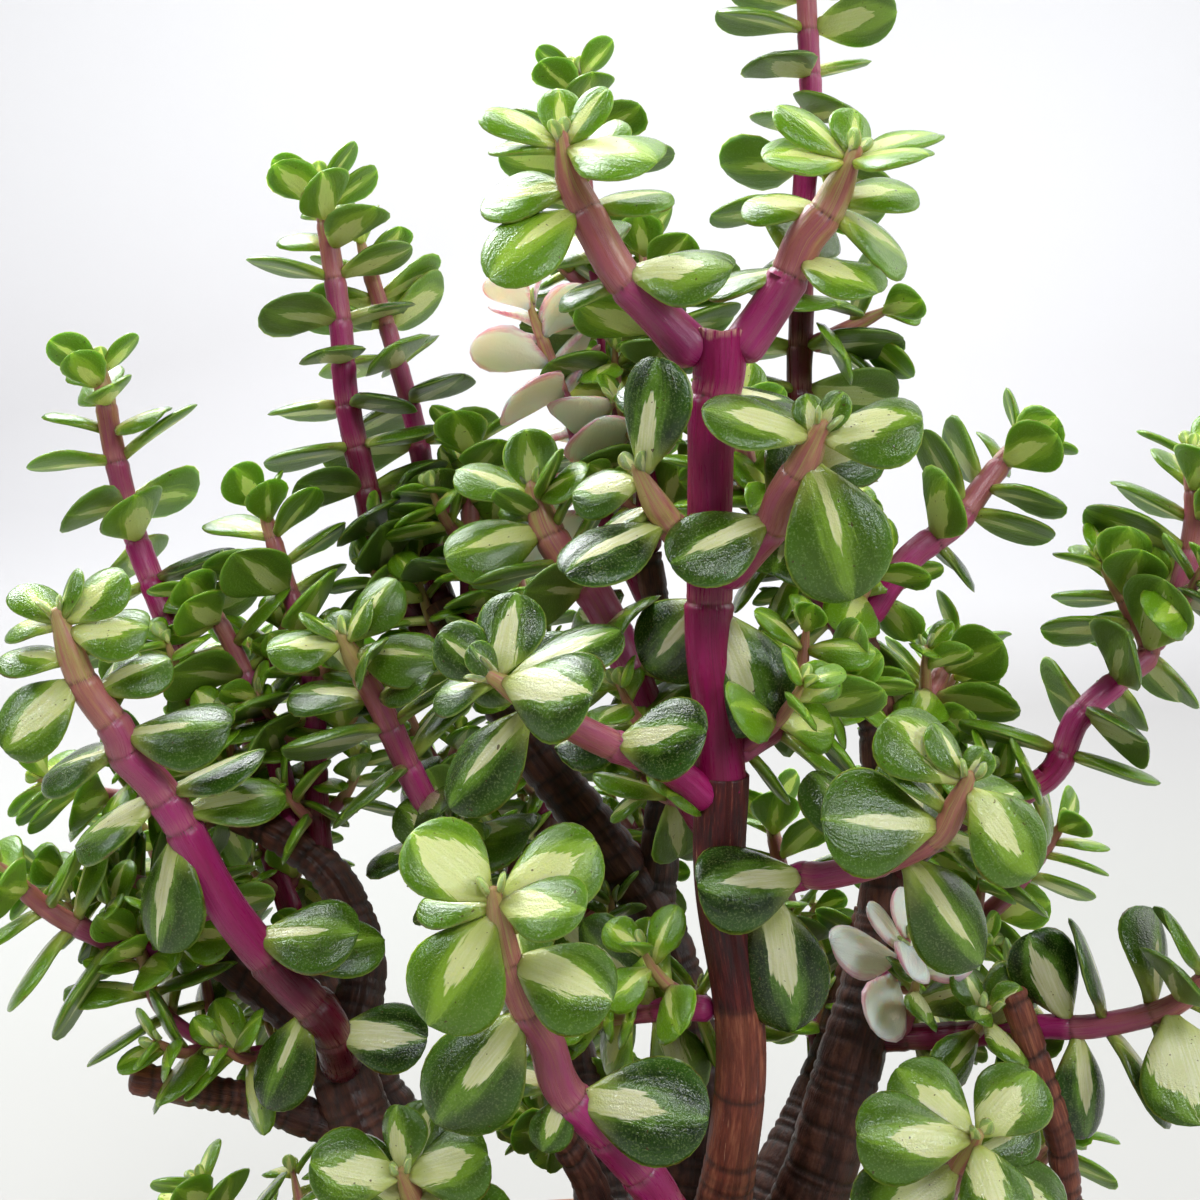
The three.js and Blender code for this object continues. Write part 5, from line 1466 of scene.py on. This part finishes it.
def bark_material():
    """Old bark: dark brown and cracked, ruddy and smooth with pale peeling streaks on younger wood."""
    n = Nodes("old_bark")
    run, turn, seed = n.attribute("place")
    ruddy, scar, smooth = n.attribute("look")
    streaks = n.noise(n.wound(turn, 2.2, n.plus(n.times(run, 0.09), seed)), 1.7, 5.0, 0.62)
    peel = n.noise(n.wound(turn, 7.0, n.plus(n.times(run, 0.12), seed)), 1.6, 4.0, 0.65)
    cracks = n.noise(None, 330.0, 4.0, 0.6)
    old = n.mix(n.ramp(streaks, 0.32, 0.68), "#1a0a06", "#48271a")
    brown = n.colours(streaks, (0.3, "#4d1a10"), (0.5, "#7b3926"), (0.7, "#a86648"))
    crown = n.colours(streaks, (0.3, "#240306"), (0.5, "#46090f"), (0.7, "#6e231c"))
    red = n.mix(n.times(smooth, n.ramp(ruddy, 0.63, 0.65)), brown, crown)
    share = n.plus(n.plus(ruddy, n.times(smooth, 0.8)), n.swing(cracks, 0.5), clamp=True)
    bark = n.mix(share, old, red)
    bark = n.mix(n.times(n.ramp(cracks, 0.55, 0.75), n.ramp(smooth, 0.0, 1.0, 0.24, 0.04)), bark, "#835c45")
    bark = n.mix(n.times(smooth, n.ramp(peel, 0.54, 0.64, 0.0, 0.5)), bark, "#8a3a2a")
    bark = n.mix(n.times(smooth, n.ramp(peel, 0.66, 0.7, 0.0, 0.7)), bark, "#c9a077")
    bark = n.mix(n.times(scar, n.ramp(peel, 0.3, 0.55, 0.4, 0.85)), bark, "#1c0d08")
    n.set(Base_Color=bark, Roughness=n.ramp(streaks, 0.3, 0.7, 0.36, 0.66))
    n.bump(n.plus(n.plus(streaks, cracks), n.times(peel, 0.6)), 0.6, 0.0005)
    return n.material


def pot_material():
    """Unglazed brown clay, a little mottled, with dark specks."""
    n = Nodes("brown_clay")
    cloud = n.noise(None, 26.0, 4.0, 0.6)
    speck = n.noise(None, 900.0)
    clay = n.mix(n.ramp(cloud, 0.35, 0.68), "#70452f", "#96674b")
    speckled = n.mix(n.times(n.ramp(speck, 0.62, 0.72), 0.5), clay, "#4a2f22")
    n.set(Base_Color=speckled, Roughness=n.ramp(cloud, 0.3, 0.7, 0.55, 0.75))
    n.bump(n.plus(speck, n.times(cloud, 1.5)), 0.3, 0.0004)
    return n.material


def soil_material():
    n = Nodes("dark_soil")
    clods = n.noise(None, 240.0, 5.0, 0.65)
    grains = n.noise(None, 1400.0, 3.0, 0.6)
    n.set(Base_Color=n.colours(clods, (0.3, "#1d130d"), (0.5, "#36251a"), (0.72, "#5b4332")), Roughness=0.95)
    n.bump(n.plus(clods, n.times(grains, 0.6)), 0.9, 0.0012)
    return n.material


def grit_material():
    """Stones from dark lava to pale pumice, one tint a stone."""
    n = Nodes("bonsai_grit")
    tint, _, _ = n.attribute("look")
    pores = n.noise(None, 1600.0, 3.0, 0.6)
    lava = [(0.0, "#3a2a22"), (0.3, "#6b3f30"), (0.5, "#7d6655")]
    stone = n.colours(tint, *lava, (0.72, "#a08b74"), (1.0, "#c9bea8"))
    n.set(Base_Color=n.mix(n.times(n.ramp(pores, 0.5, 0.7), 0.4), stone, "#2c1f18"), Roughness=0.85)
    n.bump(pores, 0.6, 0.0005)
    return n.material


def screen_material():
    n = Nodes("black_plastic")
    grain = n.noise(None, 1200.0)
    n.set(Base_Color=n.mix(grain, "#17191b", "#2a2d30"), Roughness=0.55)
    n.bump(grain, 0.2, 0.0002)
    return n.material


def painted_shade_stage_material():
    """Pale paper with painted shade: darker towards the viewer, palest up the far sweep."""
    n = Nodes("paper_with_painted_shade")
    place = n.object_place()
    _, away, _ = n.split(place)
    # Painted shade: the near stops are much darker than the far ones and stand in for the light falling off
    # towards the viewer
    near = [(0.1, "#a4a29e"), (0.2, "#a3a29e"), (0.4, "#a7a5a4"), (0.6, "#cccbcc")]
    far = [(0.7, "#d2d1d3"), (0.8, "#e0dfe1"), (0.9, "#f3f3f5")]
    paper = n.colours(n.times(away, 0.5), *near, *far)
    n.set(Base_Color=n.mix(n.times(n.noise(place, 900.0), 0.06), paper, "#a9a6a2"), Roughness=0.9)
    return n.material


# The plant


def look_of(stem, leaf, order, draw):
    """How young, cream and pink a leaf is."""
    from_tip = stem["line"].total * (1 - leaf["at"])
    creams = stem.get("cream", {})
    by_chance = YOUNG_BY_CHANCE if "fresh" in stem else YOUNG_BY_CHANCE_OTHERS
    young = stem.get("fresh", 1) * float(np.clip(1 - from_tip / FRESH_REACH, 0, 1)) ** 0.7
    leaf["young"] = max(young, 0 if order in creams else by_chance * draw.random())
    leaf["flat"] = order == stem.get("flat")
    leaf["cream"] = creams.get(order, 0.05 + 0.36 * draw.random() ** 1.3)
    leaf["pink"] = stem.get("pink", 0)
    return leaf


def node_marks(stem, leaves):
    """Where a stem's nodes are: at its leaves, and evenly spaced below them."""
    total = stem["line"].total
    marks = []
    for at in sorted(leaf["at"] * total for leaf in leaves):
        if at < total - TAPER_LONG and (not marks or at - marks[-1] > NODE_GAP):
            marks.append(at)
    if stem["cut"]:
        return marks
    lowest = marks[0] if marks else total
    return sorted(marks + np.arange(lowest - BARE_NODE, LOWEST_NODE, -BARE_NODE).tolist())


def add_shoot(parts, stem, leaves, draw):
    """One leafy stem with its leaves and the bud at its tip."""
    for order, leaf in enumerate(leaves):
        grid = FINE_LEAF if order < stem["fine"] else PLAIN_LEAF
        add_leaf(parts, look_of(stem, leaf, order, draw), grid, draw)
    add_stem(parts, stem, node_marks(stem, leaves), draw)
    if not stem["cut"]:
        look = {"young": min(1, stem.get("fresh", 1) + 0.3), "cream": 0.3, "pink": 0.2, "flat": False}
        add_tip_bud(parts, stem, look, FINE_LEAF if stem["fine"] else PLAIN_LEAF, draw)


def build_shoots(materials):
    """Every leafy stem. The solids' own leaves take their room first, then those between, then the twigs."""
    room = Room()
    for index, stem in enumerate(STEMS):
        stem["kept"] = leaves_of(stem, index)
        for leaf in stem["kept"]:
            room.take(leaf)
    for index, stem in enumerate(STEMS):
        bare = not stem["pairs"] or stem["rear"]
        stem["between"] = [] if bare else between_leaves(stem, index, room)
    for index, stem in enumerate(STEMS):
        stem["twigs"] = twigs_of(stem, index, room)
    for index, stem in enumerate(STEMS):
        draw = np.random.default_rng(index + 11)
        parts = Parts()
        stem["fine"] = len(stem["kept"]) if stem["seen"] else 0
        add_shoot(parts, stem, stem["kept"] + stem["between"], draw)
        for twig in stem["twigs"]:
            add_shoot(parts, twig, twig["kept"], draw)
        parts.piece(stem["name"] + "_leaves", materials, stem["name"])


def build_wood(material):
    parts = Parts()
    for index, limb in enumerate(LIMBS):
        add_limb(parts, limb, np.random.default_rng(index + 301), index * 1.7 + 0.5)
    add_base(parts, 4.2)
    parts.piece("woody_limbs", [material], "wood")


def give(node, material):
    nodes[node].data.materials.clear()
    nodes[node].data.materials.append(material)


# Camera, light and stage


def add_camera():
    camera = bpy.data.cameras.new("camera")
    camera.lens = LENS
    camera.sensor_width = SENSOR
    camera.clip_start = 0.01
    camera.clip_end = 20
    place, turn = (vec(EYE) + SHIFT) * MM, (math.radians(90 - PITCH), 0, 0)
    bpy.context.scene.camera = link("camera", camera, place, turn)


def add_light(name, place, aim, size, power, colour):
    light = bpy.data.lights.new(name, "AREA")
    light.shape = "RECTANGLE"
    light.size, light.size_y = size
    light.energy = power
    light.color = colour
    direction = Vector(aim) - Vector(place)
    link(name, light, place, direction.to_track_quat("-Z", "Y").to_euler())


def add_stage(material):
    """A paper sweep: flat under the pot, curving up far behind it."""
    front, back, radius, top, half = -2.0, 1.1, 0.7, 3.0, 3.0
    turns = np.linspace(0.1, math.pi / 2, 14)
    curve = [(back + radius * math.sin(t), radius * (1 - math.cos(t))) for t in turns]
    profile = [(front, 0.0), (back, 0.0), *curve, (back + radius, top)]
    verts = [(x, y, z) for y, z in profile for x in (-half, half)]
    faces = [(2 * i, 2 * i + 1, 2 * i + 3, 2 * i + 2) for i in range(len(profile) - 1)]
    mesh = bpy.data.meshes.new("paper_sweep")
    mesh.from_pydata(verts, [], faces)
    mesh.polygons.foreach_set("use_smooth", [True] * len(faces))
    mesh.materials.append(material)
    sweep = link("paper_sweep", mesh)


def add_world(lights, shows):
    """An even sky that lights the plant less than it shows."""
    world = bpy.data.worlds.new("studio")
    world.use_nodes = True
    tree = world.node_tree
    seen = add_node(tree, "LightPath", {})["Is Camera Ray"]
    strength = add_node(tree, "MapRange", {"Value": seen, "To Min": lights, "To Max": shows})["Result"]
    background = tree.nodes["Background"]
    put(tree, background.inputs["Color"], "#f4f6fb")
    put(tree, background.inputs["Strength"], strength)
    bpy.context.scene.world = world


bpy.context.scene.view_settings.view_transform = "Standard"
add_camera()
add_world(SKY_LIGHTS, SKY_SHOWS)
add_stage(painted_shade_stage_material())
for light in LIGHTS:
    add_light(*light)

build_shoots([leaf_material("leaf_top", False), leaf_material("leaf_underside", True), stem_material()])
build_wood(bark_material())
build_pot(pot_material())
build_soil(soil_material(), grit_material(), np.random.default_rng(77))
give("drain_mesh", screen_material())
